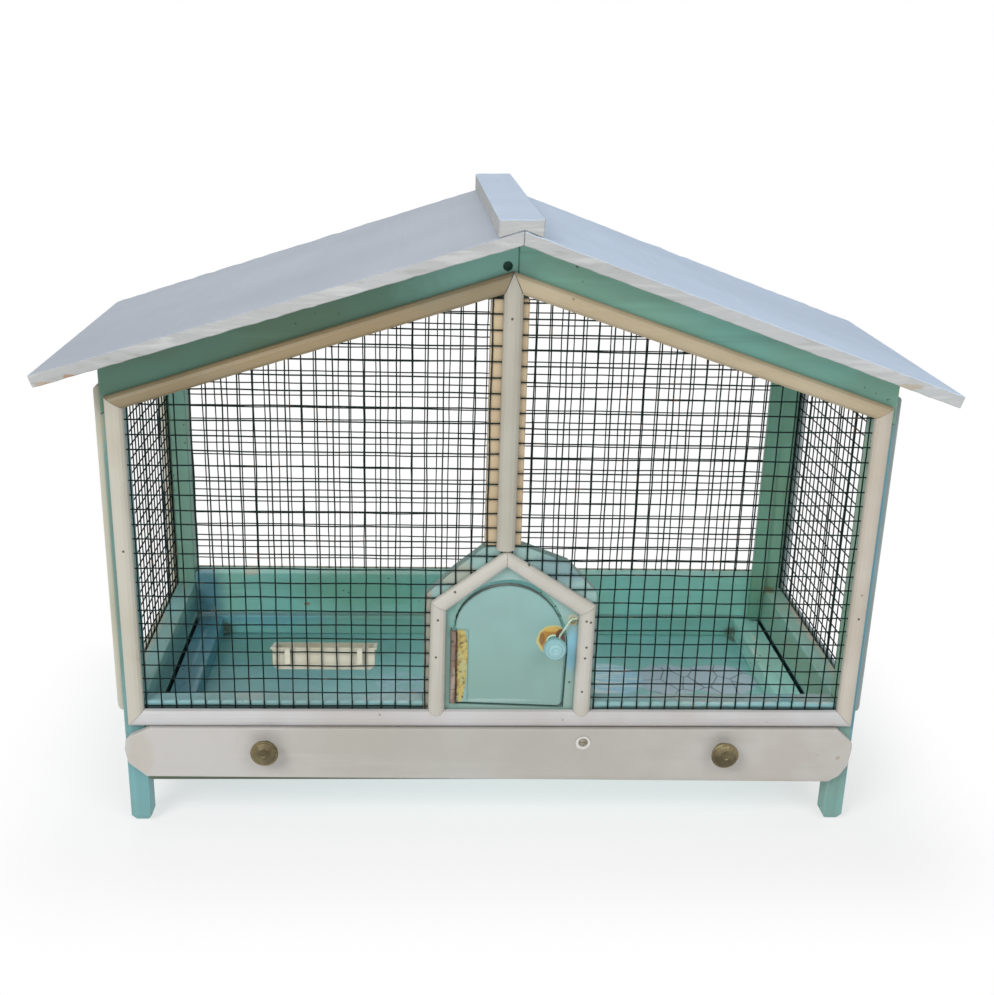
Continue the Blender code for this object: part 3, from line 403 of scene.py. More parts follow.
# Dark marks stand in for the shadow in the narrow slot that the tray leaves along each side board.
SIDE_TOP = 0.1215
SIDE_FACE = 0.306
side_marks_left = [
    (SLOT_DARK, (-SIDE_FACE, 0.14, 0.069), (0.004, 0.60, 0.0150), 1.0, 0.0, 0.04),
    ((92, 138, 142), (-SIDE_FACE, 0.14, 0.100), (0.01, 0.16, 0.012), 0.7, 0.4, 0.3),
    ((176, 184, 168), (-0.322, 0.10, SIDE_TOP), (0.003, 0.10, 0.003), 0.6, 0.7, 0.1),
]
dress(["side_board_left"], green_paint("green_left_side", "y", (128, 176, 178), side_marks_left))
side_marks_right = [
    (SLOT_DARK, (SIDE_FACE, 0.14, 0.069), (0.004, 0.60, 0.0150), 1.0, 0.0, 0.04),
    ((202, 192, 170), (0.322, 0.16, SIDE_TOP), (0.0035, 0.07, 0.004), 0.7, 0.9, 0.1),
    ((192, 184, 164), (0.321, 0.05, SIDE_TOP), (0.0040, 0.03, 0.004), 0.6, 0.9, 0.1),
    ((120, 106, 66), (0.310, 0.264, 0.121), (0.007, 0.010, 0.004), 0.8, 0.7, 0.3),
    ((148, 172, 146), (SIDE_FACE, 0.09, 0.105), (0.01, 0.09, 0.014), 0.6, 0.5, 0.3),
]
dress(["side_board_right"], green_paint("green_right_side", "y", (148, 188, 176), side_marks_right))

SILL_TOP = 0.1206
front_rail_marks = [
    ((184, 186, 176), (-0.215, 0.010, SILL_TOP), (0.012, 0.010, 0.002), 0.35, 0.9, 0.2),
    ((176, 186, 186), (-0.090, 0.010, SILL_TOP), (0.026, 0.012, 0.002), 0.35, 0.9, 0.2),
    ((188, 188, 184), (0.200, 0.008, SILL_TOP), (0.060, 0.010, 0.002), 0.4, 0.9, 0.2),
    ((182, 176, 162), (0.290, 0.008, SILL_TOP), (0.020, 0.010, 0.002), 0.4, 0.9, 0.2),
    # The two dark bands are painted shadow along the top of the rail's front, where the mesh meets it.
    ((40, 62, 60), (-0.18, 0.0, 0.1135), (0.20, 0.006, 0.0034), 0.9, 0.2, 0.3),
    ((40, 62, 60), (0.20, 0.0, 0.1135), (0.20, 0.006, 0.0034), 0.9, 0.2, 0.3),
]
dress(["front_bottom_rail"], green_paint("green_front_rail", "x", (128, 172, 178), front_rail_marks))
print("green paint on", sum("green" in piece.data.materials[0].name for piece in nodes.values()), "pieces")

# %% [markdown]
# ## The tray
# The tray gets the hardest wear: it is wetted, scraped and pushed in and out. Its floor keeps
# the bluest paint, a mauve patch whose skin has crackled, and a glossy patch painted with a
# reflection of the sky and glints. Crackle comes from Voronoi cells: the distance to a cell's
# edge, kept only where it is almost nothing.

# %% Tray paint
FLOOR_TOP = 0.0623
RIM_TOP = 0.0828
CRACKLE = (0.215, 0.165)
CRACKLE_SPREAD = 0.0252
CRACKLE_REACH = (0.0372, 0.034, 0.02)


def tray_paint():
    """The tray floor: bluer on the left, with three patches, a few stains and a patch of painted light at
    the back left.
    """
    recipe = Recipe("green_tray_floor")
    streaks = recipe.clouds(recipe.scaled(4.0, 45.0, 45.0), 1.0, 5.0, 0.6, 0.4)
    slow = recipe.clouds(recipe.place, 8.0, 4.0)
    fine = recipe.clouds(recipe.place, 170.0, 4.0)
    colour = recipe.mix(recipe.x.ramp(-0.30, 0.0), srgb(94, 148, 160), srgb(152, 212, 210))
    colour = recipe.mix(slow.ramp(0.36, 0.66) * 0.5, colour, srgb(140, 196, 188))
    colour = recipe.mix(streaks.ramp(0.54, 0.74) * 0.4, colour, srgb(156, 202, 198))
    colour = recipe.mix(streaks.ramp(0.44, 0.26) * 0.4, colour, srgb(84, 142, 142))
    crazed = recipe.scaled(44.0, 30.0, 70.0, turn=(0, 0, 0.4))
    lines = recipe.cells(crazed, 1.0, "DISTANCE_TO_EDGE").ramp(0.040, 0.010)
    left_half, right_half = (
        recipe.patch((CRACKLE[0] + side * CRACKLE_SPREAD, CRACKLE[1], FLOOR_TOP), CRACKLE_REACH, 0.22, 60.0)
        for side in (-1, 1))
    mauve = (left_half + right_half).clamped()
    colour = recipe.mix(mauve * 0.85, colour, srgb(202, 212, 228))
    colour = recipe.mix(mauve * lines * slow.ramp(0.47, 0.53) * 0.7, colour, srgb(84, 98, 112))
    # The sky-blue colour and the glints below are a painted reflection of the sky and painted highlights;
    # the coat gives the patch its real gloss.
    gloss_and_sky_reflection = recipe.patch((0.124, 0.164, FLOOR_TOP), (0.036, 0.036, 0.02), 0.20, 120.0)
    colour = recipe.mix(gloss_and_sky_reflection * fine.ramp(0.24, 0.44), colour, srgb(186, 228, 254))
    painted_glints = recipe.clouds(recipe.scaled(30.0, 260.0, 60.0), 1.0, 2.0, 0.4).ramp(0.52, 0.60)
    colour = recipe.mix(gloss_and_sky_reflection * painted_glints * 0.9, colour, srgb(240, 250, 255))
    grey_patch = recipe.patch((-0.085, 0.150, FLOOR_TOP), (0.024, 0.030, 0.02), 0.35, 120.0)
    colour = recipe.mix(grey_patch * fine.ramp(0.42, 0.56) * 0.8, colour, srgb(168, 206, 220))
    colour = recipe.marked(colour, [
        # The first mark is painted light that brightens the back left of the floor.
        ((130, 182, 168), (-0.190, 0.236, FLOOR_TOP), (0.090, 0.032, 0.01), 0.6, 0.4, 0.6),
        ((96, 88, 62), (-0.277, 0.271, FLOOR_TOP), (0.005, 0.004, 0.01), 0.7, 0.7, 0.4),
        ((104, 96, 66), (0.276, 0.266, FLOOR_TOP), (0.004, 0.009, 0.01), 0.7, 0.7, 0.4),
    ])
    scraped = recipe.scaled(9.0, 260.0, 60.0, turn=(0, 0, 0.35))
    scratches = recipe.clouds(scraped, 1.0, 2.0, 0.4).ramp(0.70, 0.76)
    colour = recipe.mix(scratches * 0.5, colour, srgb(186, 204, 196))
    relief = streaks * 0.5 + fine * 0.3 - mauve * lines * 0.8
    return recipe.finish(colour, 0.30 + slow * 0.22, relief, 0.0005, coat=gloss_and_sky_reflection * 0.9)


dress(["tray_floor"], tray_paint())
rim_marks_left = [
    # The first mark is painted shadow in the narrow slot beside the rim.
    (SLOT_DARK, (-0.3034, 0.137, 0.070), (0.0016, 0.60, 0.0150), 1.0, 0.0, 0.10),
    ((148, 186, 196), (-0.291, 0.20, RIM_TOP), (0.002, 0.045, 0.003), 0.5, 1.1, 0.3),
    ((150, 186, 196), (-0.281, 0.10, RIM_TOP), (0.002, 0.060, 0.003), 0.5, 1.1, 0.3),
    ((98, 88, 60), (-0.279, 0.271, 0.070), (0.003, 0.004, 0.006), 0.7, 0.7, 0.4),
]
dress(["tray_rim_left"], green_paint("green_left_rim", "y", (88, 148, 172), rim_marks_left))
rim_marks_right = [
    # The first mark is painted shadow in the narrow slot beside the rim.
    (SLOT_DARK, (0.3034, 0.137, 0.070), (0.0010, 0.60, 0.0150), 1.0, 0.0, 0.10),
    # The two near-white streaks are painted highlights on the rim's inner top edge.
    ((226, 230, 224), (0.288, 0.226, RIM_TOP), (0.0014, 0.014, 0.003), 0.9, 0.6, 0.2),
    ((220, 226, 220), (0.280, 0.186, RIM_TOP), (0.0012, 0.010, 0.003), 0.9, 0.6, 0.2),
    ((110, 98, 66), (0.279, 0.268, 0.070), (0.003, 0.006, 0.007), 0.7, 0.7, 0.4),
]
dress(["tray_rim_right"], green_paint("green_right_rim", "y", (174, 226, 220), rim_marks_right))
rim_marks_back = [
    ((116, 180, 198), (-0.250, 0.28, RIM_TOP), (0.080, 0.02, 0.012), 0.7, 0.5, 0.5),
    ((90, 80, 54), (-0.274, 0.274, 0.068), (0.005, 0.004, 0.006), 0.7, 0.8, 0.4),
    ((104, 92, 60), (0.274, 0.274, 0.068), (0.005, 0.004, 0.006), 0.7, 0.8, 0.4),
]
back_rim_paint = green_paint("green_back_rim", "x", (134, 192, 186), rim_marks_back)

# %% [markdown]
# ## Three pieces redrawn
# On the cage the tray's rear edge closes up under the rear rail, so no daylight shows between
# them, and paint has run into the corner. Both pieces are redrawn here a few millimetres
# fuller, and the low rail under the drawer front a little slimmer and painted dark olive, as
# painted shadow, so that less of it shows.
# Each is a copy of the working model's own mesh, with its corners joined first, because a
# carried-over mesh is a heap of loose triangles and shouldn't be altered itself.

# %% Rear rail, rear rim and low rail
JOINED = 0.00001
DROP = 0.0038
REACH = 0.0024
LOW_RAIL_RISE = 0.004
REAR_RAIL_MIDDLE, LOW_RAIL_MIDDLE = 0.11, 0.044


def joined_copy(source):
    """A copy of a piece's mesh, and its corners joined, to work on."""
    mesh = nodes[source].data.copy()
    bm = bmesh.new()
    bm.from_mesh(mesh)
    bmesh.ops.remove_doubles(bm, verts=bm.verts, dist=JOINED)
    return mesh, bm


def finished(name, mesh, bm, material, body, slot, *stands_for):
    """Put the worked mesh into the scene in place of carried-over pieces."""
    bm.to_mesh(mesh)
    bm.free()
    mesh.materials.clear()
    mesh.materials.append(material)
    piece = bpy.data.objects.new(name, mesh)
    scene.collection.objects.link(piece)
    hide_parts(*stands_for)
    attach(piece, body)
    return piece


def reshaped(name, source, move, material, body):
    """A joined copy of a green piece whose points are moved by a function."""
    mesh, bm = joined_copy(source)
    for vert in bm.verts:
        vert.co += move(vert.co)
    return finished(name, mesh, bm, material, body, "green_paint", source)


def deeper(at):
    return Vector((0, 0, -DROP if at.z < REAR_RAIL_MIDDLE else 0))


def wider(at):
    return Vector((REACH if at.x > 0 else -REACH, 0, 0))


def slimmer(at):
    return Vector((0, 0, LOW_RAIL_RISE if at.z < LOW_RAIL_MIDDLE else 0))


# The low rail is painted dark olive, as painted shadow below the drawer front.
low_rail_shadow_paint = green_paint("green_low_rail_shadow", "x", (84, 96, 76))
reshaped("rear_rail", "back_bottom_rail", deeper, rear_rail_paint, "house")
reshaped("rear_rim", "tray_rim_back", wider, back_rim_paint, "tray")
reshaped("front_low_rail", "front_base_rail", slimmer, low_rail_shadow_paint, "house")
print("rear rail", DROP, "m deeper, rear rim", REACH, "m wider at each end")
print("low rail", LOW_RAIL_RISE, "m slimmer")

# %% [markdown]
# ## Cream paint on the mouldings
# The trim was painted cream by hand, thickly. The two top lengths are painted darker and
# browner, as painted shade from the roof's eave along with some dirt.
# Small nail holes show as dark pits, and dirt has settled along both edges of each length, where
# a cloth can't reach. The surface is bumpy along its length, as a brush leaves it on a curve.

# %% Cream paint


def cream_paint(name, grain, tone, turn=0.0, marks=(), holes=(), speckle=0.5):
    """Thick cream paint; speckle is how many dark flecks it has, and holes are nail holes."""
    recipe = Recipe(name)
    stretched = recipe.scaled(*WOOD_GRAIN[grain], turn=(0, turn, 0))
    streaks = recipe.clouds(stretched, 1.0, 5.0, 0.6, 0.4)
    slow = recipe.clouds(recipe.place, 11.0, 3.0)
    fine = recipe.clouds(recipe.place, 210.0, 3.0)
    colour = recipe.mix(slow.ramp(0.34, 0.68), toned(tone, 1.02), toned(tone, 0.95, (2, -1, -5)))
    colour = recipe.mix(streaks.ramp(0.54, 0.78) * 0.5, colour, toned(tone, 1.05, (2, 3, 5)))
    colour = recipe.mix(streaks.ramp(0.44, 0.24) * 0.35, colour, toned(tone, 0.84, (2, 0, -5)))
    colour = recipe.marked(colour, marks)
    flake = recipe.cells(recipe.place, 60.0).ramp(0.075, 0.045) * slow.ramp(0.50, 0.58) * speckle
    if holes:
        flake = flake.above(recipe.dots(holes, 0.0013))
    corners = edge_mask(recipe, 0.0012)
    colour = recipe.mix(corners * fine.ramp(0.40, 0.60) * 0.35, colour, toned(tone, 0.78, (0, -4, -14)))
    colour = recipe.mix(flake * 0.9, colour, srgb(70, 56, 42))
    relief = streaks * 0.5 + fine * 0.25 + slow * 0.6 - flake
    return recipe.finish(colour, 0.36 + slow * 0.18 + flake * 0.3, relief, 0.0005)


DRAWER_FACE = -0.01
# The top lengths are painted darker and browner: painted shade from the roof's eave, with some dirt.
dirt_and_eave_shade = [((160, 134, 92), (-0.16, 0.0, 0.440), (0.17, 0.02, 0.030), 0.35, 0.6, 0.3)]
dress(["front_moulding_left"], cream_paint("cream_left", "z", (184, 181, 169), holes=[(-0.3120, 0.262)]))
dress(["front_moulding_right"], cream_paint("cream_right", "z", (187, 181, 171), holes=[(0.3125, 0.205)]))
dress(["front_moulding_centre"],
      cream_paint("cream_centre", "z", (171, 169, 159), holes=[(0.0038, 0.460)], speckle=0.25))
dress(["centre_batten"], cream_paint("cream_batten", "z", (192, 174, 144), speckle=0.4))
dress(["front_moulding_bottom"], cream_paint("cream_bottom", "x", (188, 188, 190)))
dress(["front_moulding_top_left"], cream_paint("cream_top_left", "x", (136, 124, 98), SLOPE_LEFT, dirt_and_eave_shade))
dress(["front_moulding_top_right"], cream_paint("cream_top_right", "x", (176, 163, 137), SLOPE_RIGHT))
surround_holes = [
    (0.0761, 0.2013), (0.0800, 0.2002), (0.0773, 0.1769), (0.0765, 0.1666), (0.0754, 0.1344),
    (0.0252, 0.2518), (-0.0372, 0.2276), (-0.0514, 0.2017), (-0.0527, 0.1670),
]
surround = cream_paint("cream_surround", "z", (184, 182, 174), holes=surround_holes, speckle=0.2)
dress([name for name in nodes if name.startswith("door_surround")], surround)
drawer_marks = [
    ((160, 160, 150), (0.0, DRAWER_FACE, 0.084), (0.150, 0.02, 0.040), 0.5, 0.4, 0.6),
    ((146, 142, 134), (0.0790, DRAWER_FACE, 0.0845), (0.0074, 0.02, 0.0070), 0.7, 0.2, 0.06),
    ((206, 206, 202), (0.0790, DRAWER_FACE, 0.0840), (0.0066, 0.02, 0.0062), 0.9, 0.2, 0.06),
    ((162, 152, 132), (0.310, DRAWER_FACE, 0.0693), (0.0020, 0.02, 0.0020), 0.8, 0.3, 0.2),
    ((176, 168, 150), (-0.310, DRAWER_FACE, 0.0750), (0.010, 0.02, 0.020), 0.4, 0.6, 0.4),
]
dress(["drawer_front"], cream_paint("cream_drawer", "x", (184, 182, 179), 0.0, drawer_marks, speckle=0.15))
plain_trim = ["back_moulding_frame", "side_moulding_frame_left"]
dress(plain_trim, cream_paint("cream_frames", "z", (182, 180, 164)))
dress(["side_moulding_frame_right"], cream_paint("cream_frame_right", "z", (138, 156, 158)))
print("cream paint on", sum("cream" in piece.data.materials[0].name for piece in nodes.values()), "pieces")

# %% [markdown]
# ## The roof
# Two rough boards under thin grey-white paint. Their tops are weathered almost flat in tone.
# Their paint is tinted blue as a painted reflection of the sky, and the left slope is painted
# darker than the right as painted shade. The sawn front edges show open grain and a warmer
# grey, and the two low tips are chipped.

# %% Roof paint
ROOF_FRONT = -0.036


def roof_paint(name, turn, tone):
    """Grey-white paint of the given tone on top, and bare sawn wood on the edges."""
    recipe = Recipe(name)
    grain = recipe.clouds(recipe.scaled(60.0, 5.0, 60.0, turn=(0, turn, 0)), 1.0, 5.0, 0.6, 0.5)
    across_grain = recipe.scaled(14.0, 80.0, 120.0, turn=(0, turn, 0))
    sawn_grain = recipe.clouds(across_grain, 1.0, 4.0, 0.65, 0.8)
    slow = recipe.clouds(recipe.place, 6.0, 4.0)
    fine = recipe.clouds(recipe.place, 240.0, 4.0)
    normal = recipe.node("NewGeometry", output="True Normal")
    parts = recipe.node("SeparateXYZ", {}, {0: normal}, output=None)
    top = Value(recipe, parts.outputs[2]).ramp(0.3, 0.8)
    sawn = recipe.mix(slow.ramp(0.3, 0.7), srgb(174, 177, 178), srgb(164, 166, 166))
    sawn = recipe.mix(sawn_grain.ramp(0.50, 0.66) * 0.5, sawn, srgb(198, 200, 200))
    sawn = recipe.mix(sawn_grain.ramp(0.44, 0.32) * 0.4, sawn, srgb(132, 130, 122))
    skin = recipe.mix(slow.ramp(0.3, 0.7), toned(tone, 1.0), toned(tone, 0.965))
    skin = recipe.mix(grain.ramp(0.56, 0.8) * 0.35, skin, toned(tone, 1.07))
    skin = recipe.mix(fine.ramp(0.62, 0.70) * 0.25, skin, toned(tone, 0.88))
    colour = recipe.mix(top, sawn, skin)
    corners = edge_mask(recipe, 0.0014)
    colour = recipe.mix(corners * fine.ramp(0.50, 0.62) * 0.5, colour, srgb(158, 142, 116))
    colour = recipe.mix(corners * fine.ramp(0.48, 0.40) * 0.5, colour, srgb(206, 208, 208))
    colour = recipe.marked(colour, [
        ((150, 116, 92), (-0.3345, ROOF_FRONT, 0.4150), (0.0060, 0.006, 0.0022), 0.8, 0.6, 0.1),
        ((166, 140, 116), (-0.3540, ROOF_FRONT, 0.4090), (0.0090, 0.006, 0.0020), 0.7, 0.7, 0.1),
        ((168, 156, 132), (0.3200, ROOF_FRONT, 0.4170), (0.0120, 0.006, 0.0022), 0.7, 0.8, 0.1),
    ])
    relief = grain * 0.4 + sawn_grain * (1.0 - top) * 1.4 + fine * 0.4
    return recipe.finish(colour, 0.62 + slow * 0.2, relief, 0.0007)


# The roof tones are painted bluer than the paint as a reflection of the sky, and the left one darker as
# painted shade.
roof_finishes = {
    "roof_board_left": roof_paint("roof_paint_left", SLOPE_LEFT, (168, 176, 188)),
    "roof_board_right": roof_paint("roof_paint_right", SLOPE_RIGHT, (198, 216, 238)),
    "ridge_cap": roof_paint("roof_paint_cap", 0.0, (186, 203, 224)),
}
print("roof paint for", list(roof_finishes))

# %% [markdown]
# ## Worn roof boards
# A sawn board that has been outdoors has no straight edge left. Each board is a joined copy of
# the working model's piece. It is cut across into short lengths, and the points along its open
# edges are pushed about by smooth noise, by less than a millimetre. Near the two low tips the
# front edge is chipped a little as well.

# %% Worn boards
SLICE = 0.007
EDGE_BAND = 0.004
TIPS = 0.360
EAVES = 0.300
ROUGHNESS_DEPTH, ROUGHNESS_SCALE = 0.0007, 140
CHIP_STRENGTH, CHIP_SCALE, CHIP_START = 0.0030, 60, 0.25
# Without a fixed seed, the vector noise that pushes the points differs from run to run.
ROUGHNESS_SEED = 5
noise.seed_set(ROUGHNESS_SEED)


def worn_board(name, source, material):
    """A board of the roof with rough ends and edges and chipped tips."""
    mesh, bm = joined_copy(source)
    bmesh.ops.dissolve_limit(bm, angle_limit=radians(1), verts=bm.verts, edges=bm.edges)
    left, right = (pick(vert.co.x for vert in bm.verts) for pick in (min, max))
    front, back = (pick(vert.co.y for vert in bm.verts) for pick in (min, max))
    for step in range(1, int((right - left) / SLICE)):
        everything = bm.verts[:] + bm.edges[:] + bm.faces[:]
        cut = (left + step * SLICE, 0, 0)
        bmesh.ops.bisect_plane(bm, geom=everything, plane_co=cut, plane_no=(1, 0, 0))
    for vert in bm.verts:
        at = vert.co
        if min(at.y - front, back - at.y) < EDGE_BAND or abs(at.x) > TIPS:
            vert.co += noise.noise_vector(at * ROUGHNESS_SCALE) * ROUGHNESS_DEPTH
            chip = noise.noise(at * CHIP_SCALE) - CHIP_START
            if abs(at.x) > EAVES and at.y - front < EDGE_BAND and chip > 0:
                vert.co.y += CHIP_STRENGTH * chip
    return finished(name, mesh, bm, material, "house", "roof_paint", source)


for source, material in roof_finishes.items():
    board = worn_board("worn_" + source, source, material)
    print(board.name, len(board.data.polygons), "faces")

# %% [markdown]
# ## The door
# The door is the part people touch. Paint has worn through round the knob, down to brown
# varnish and yellow wood, and over the hinge plate to the brass colour of the metal. Each ring
# of wear is the same ragged oval at a smaller size, laid over the last one.

# %% Door paint
LEAF_FACE = -0.0005
KNOB = (0.0487, LEAF_FACE, 0.1808)
MINT = (130, 165, 160)
GAP_SHADOW = (20, 60, 52)


def door_paint(name, tone, marks=(), holes=(), edge=GAP_SHADOW):
    """The leaf's paint. Its sawn sides and its corners are painted dark, as painted shade in the gap round
    it, which draws its outline.
    """
    recipe = Recipe(name)
    streaks = recipe.clouds(recipe.scaled(45.0, 45.0, 4.0), 1.0, 5.0, 0.6, 0.5)
    slow = recipe.clouds(recipe.place, 16.0, 3.0)
    fine = recipe.clouds(recipe.place, 220.0, 3.0)
    lower = recipe.z.ramp(0.21, 0.13)
    colour = recipe.mix(lower, toned(tone, 1.03, (0, 2, 4)), toned(tone, 0.95, (0, 2, -2)))
    colour = recipe.mix(slow.ramp(0.36, 0.66) * 0.5, colour, toned(tone, 0.95, (4, 0, 0)))
    colour = recipe.mix(streaks.ramp(0.54, 0.8) * 0.4, colour, toned(tone, 1.07))
    colour = recipe.marked(colour, marks)
    smudge = recipe.cells(recipe.place, 70.0).ramp(0.12, 0.05) * slow.ramp(0.50, 0.62)
    colour = recipe.mix(smudge * 0.35, colour, srgb(84, 108, 96))
    # Faces that turn away from the front, and the corners, are painted dark as shade in the gap.
    normal = recipe.node("NewGeometry", output="True Normal")
    across = recipe.node("SeparateXYZ", {}, {0: normal}, output=1).size()
    sides = across.ramp(0.75, 0.35)
    corners = edge_mask(recipe, 0.0013).above(sides)
    colour = recipe.mix(corners * 0.8, colour, srgb(*edge))
    relief = streaks * 0.45 + fine * 0.2 + slow * 0.3
    if holes:
        pits = recipe.dots(holes, 0.0012)
        colour = recipe.mix(pits * 0.9, colour, srgb(34, 44, 34))
        relief = relief - pits
    return recipe.finish(colour, 0.38 + slow * 0.18, relief, 0.0004)


worn_ring = [
    ((206, 192, 112), KNOB, (0.0142, 0.004, 0.0136), 0.85, 0.16, 0.06),
    ((176, 124, 56), KNOB, (0.0124, 0.004, 0.0120), 0.90, 0.30, 0.10),
    ((214, 178, 96), (0.0470, LEAF_FACE, 0.1905), (0.0065, 0.004, 0.0020), 0.8, 0.6, 0.20),
    ((120, 84, 52), (0.0390, LEAF_FACE, 0.1815), (0.0022, 0.004, 0.0060), 0.7, 0.6, 0.20),
    ((98, 62, 58), (0.0565, LEAF_FACE, 0.1835), (0.0058, 0.004, 0.0080), 0.9, 0.25, 0.15),
    ((176, 204, 196), (-0.0100, LEAF_FACE, 0.1225), (0.040, 0.004, 0.0014), 0.35, 0.8, 0.40),
]
dress(["door_leaf"], door_paint("mint_leaf", MINT, worn_ring))
panel_marks = [
    ((104, 152, 140), (-0.041, 0.0, 0.205), (0.007, 0.007, 0.022), 0.7, 0.5, 0.4),
    # The sky-blue mark on the right of the doorway is a painted reflection of the sky.
    ((124, 184, 206), (0.0655, 0.0, 0.172), (0.0048, 0.007, 0.020), 0.8, 0.30, 0.4),
    ((196, 194, 170), (0.0655, 0.0, 0.1990), (0.0046, 0.007, 0.0050), 0.8, 0.6, 0.2),
    ((158, 152, 134), (-0.0600, 0.0, 0.165), (0.0050, 0.007, 0.075), 0.8, 0.35, 0.2),
    ((164, 162, 146), (-0.0420, 0.0, 0.2430), (0.0200, 0.007, 0.0120), 0.7, 0.5, 0.2),
    ((112, 142, 150), (0.0600, 0.0, 0.2480), (0.0300, 0.007, 0.0140), 0.7, 0.5, 0.3),
    ((120, 156, 150), (0.0860, 0.0, 0.170), (0.0040, 0.007, 0.060), 0.6, 0.5, 0.3),
]
panel_paint = door_paint("mint_panel", (138, 169, 163), panel_marks, [(0.0649, 0.1400)], (92, 130, 120))
dress(["door_board"], panel_paint)
dress(["door_knob"], door_paint("mint_knob", (144, 186, 190), edge=(120, 164, 166)))

# %% [markdown]
# ## Metal and plastic
# The hinge was painted over with the door, and the paint has come off the plate in a ragged
# strip. The tray's knobs are brass that has gone brown in the grooves and stays bright on the
# rims. The feeder is thin moulded plastic, a little yellow, with a soft shine.

# %% Hinge, brass and plastic
BARREL_EDGE = (-0.0360, -0.0357)
DARK_EDGE = (-0.0346, -0.0330)
TONGUE_ROOT, TONGUE_LENGTH = -0.0352, 0.0102
HINGE_MIDDLE, HINGE_HALF_HEIGHT = 0.160, 0.034


def hinge_paint(name):
    """Dark metal beside the barrel, a worn yellow tongue, then the door's own paint."""
    recipe = Recipe(name)
    fine = recipe.clouds(recipe.place, 300.0, 4.0)
    slow = recipe.clouds(recipe.scaled(90.0, 90.0, 34.0), 1.0, 3.0)
    bare = recipe.mix(fine.ramp(0.40, 0.60), srgb(184, 170, 98), srgb(150, 132, 76))
    bare = recipe.mix(slow.ramp(0.52, 0.60) * 0.6, bare, srgb(166, 174, 132))
    bare = recipe.mix(fine.ramp(0.60, 0.64) * 0.9, bare, srgb(84, 72, 48))
    dark = recipe.mix(fine.ramp(0.40, 0.60), srgb(112, 74, 40), srgb(66, 50, 38))
    across = recipe.x + (slow - 0.5) * 0.0035
    colour = recipe.mix(across.ramp(*DARK_EDGE), dark, bare)
    height = (recipe.z - HINGE_MIDDLE) / HINGE_HALF_HEIGHT
    tongue = TONGUE_LENGTH - height * height * 0.0042 + (fine - 0.5) * 0.0030
    beyond = (across - TONGUE_ROOT - tongue).ramp(-0.0003, 0.0003)
    colour = recipe.mix(beyond, colour, srgb(*MINT))
    barrel = recipe.mix(slow.ramp(0.42, 0.58), srgb(168, 156, 146), srgb(124, 104, 92))
    barrel = recipe.mix(fine.ramp(0.58, 0.66), barrel, srgb(84, 70, 60))
    colour = recipe.mix(recipe.x.ramp(*BARREL_EDGE), barrel, colour)
    return recipe.finish(colour, 0.48 + fine * 0.2, fine, 0.0003, metallic=0.1)


def aged_brass(name):
    """Brown brass, brighter on its corners."""
    recipe = Recipe(name)
    fine = recipe.clouds(recipe.place, 260.0, 3.0)
    slow = recipe.clouds(recipe.place, 60.0, 3.0)
    colour = recipe.mix(slow.ramp(0.3, 0.7), srgb(126, 116, 88), srgb(86, 78, 58))
    corners = edge_mask(recipe, 0.0012)
    colour = recipe.mix(corners * 0.6, colour, srgb(164, 150, 112))
    colour = recipe.mix(fine.ramp(0.60, 0.72) * 0.7, colour, srgb(66, 56, 42))
    return recipe.finish(colour, 0.34 + fine * 0.18, fine, 0.0001, metallic=0.85)


def painted_steel(name, tone):
    """A small metal part with paint over it."""
    recipe = Recipe(name)
    fine = recipe.clouds(recipe.place, 240.0, 3.0)
    colour = recipe.mix(fine.ramp(0.45, 0.62), toned(tone, 1.0), toned(tone, 0.84, (10, 2, -14)))
    return recipe.finish(colour, 0.42 + fine * 0.1, fine, 0.0002, metallic=0.05)


def plastic(name):
    """Yellowed moulded plastic with a few brown specks."""
    recipe = Recipe(name)
    slow = recipe.clouds(recipe.place, 30.0, 3.0)
    fine = recipe.clouds(recipe.place, 300.0, 2.0)
    colour = recipe.mix(slow.ramp(0.3, 0.7), srgb(196, 196, 180), srgb(186, 182, 160))
    colour = recipe.mix(fine.ramp(0.66, 0.72) * 0.4, colour, srgb(150, 138, 104))
    return recipe.finish(colour, 0.32 + slow * 0.1, slow, 0.0001, coat=0.15)


def dark_wire(name):
    """Wire with dull green-black paint and a little rust."""
    recipe = Recipe(name)
    fine = recipe.clouds(recipe.place, 130.0, 3.0)
    slow = recipe.clouds(recipe.place, 20.0, 3.0)
    colour = recipe.mix(fine.ramp(0.45, 0.65), srgb(4, 22, 22), srgb(16, 40, 38))
    colour = recipe.mix(fine.ramp(0.58, 0.66) * slow.ramp(0.50, 0.62), colour, srgb(86, 62, 44))
    recipe.shader.inputs["Specular IOR Level"].default_value = 0.15
    return recipe.finish(colour, 0.55 + fine * 0.2, fine, 0.0001)


dress(["hinge_leaf_fixed", "hinge_leaf_door", "hinge_pin"], hinge_paint("hinge_paint"))
dress(["drawer_knob_left", "drawer_knob_right"], aged_brass("aged_brass"))
dress(["drawer_screw"], painted_steel("screw_paint", (150, 146, 138)))
dress(["latch_arm"], painted_steel("latch_paint", (178, 208, 190)))
dress(["latch_eye"], painted_steel("eye_paint", (150, 142, 104)))
dress(["feeder"], plastic("cream_plastic"))
wire_finish = dark_wire("dark_wire")
dress([name for name in nodes if "mesh" in name], wire_finish)
undressed = [name for name, piece in nodes.items()
             if not piece.data.materials or not piece.data.materials[0].use_nodes]
print("pieces without a finish:", undressed)

# %% [markdown]
# ## Welded wire mesh
# Half-inch welded mesh is two layers of thin wire, crossed and fused where they touch, so the
# level wires lie in front of the upright ones. One rod is made for each wire, cut into short
# lengths, and every ring is pushed a little off the straight line, because cheap mesh is never
# flat once it has been unrolled and stapled.

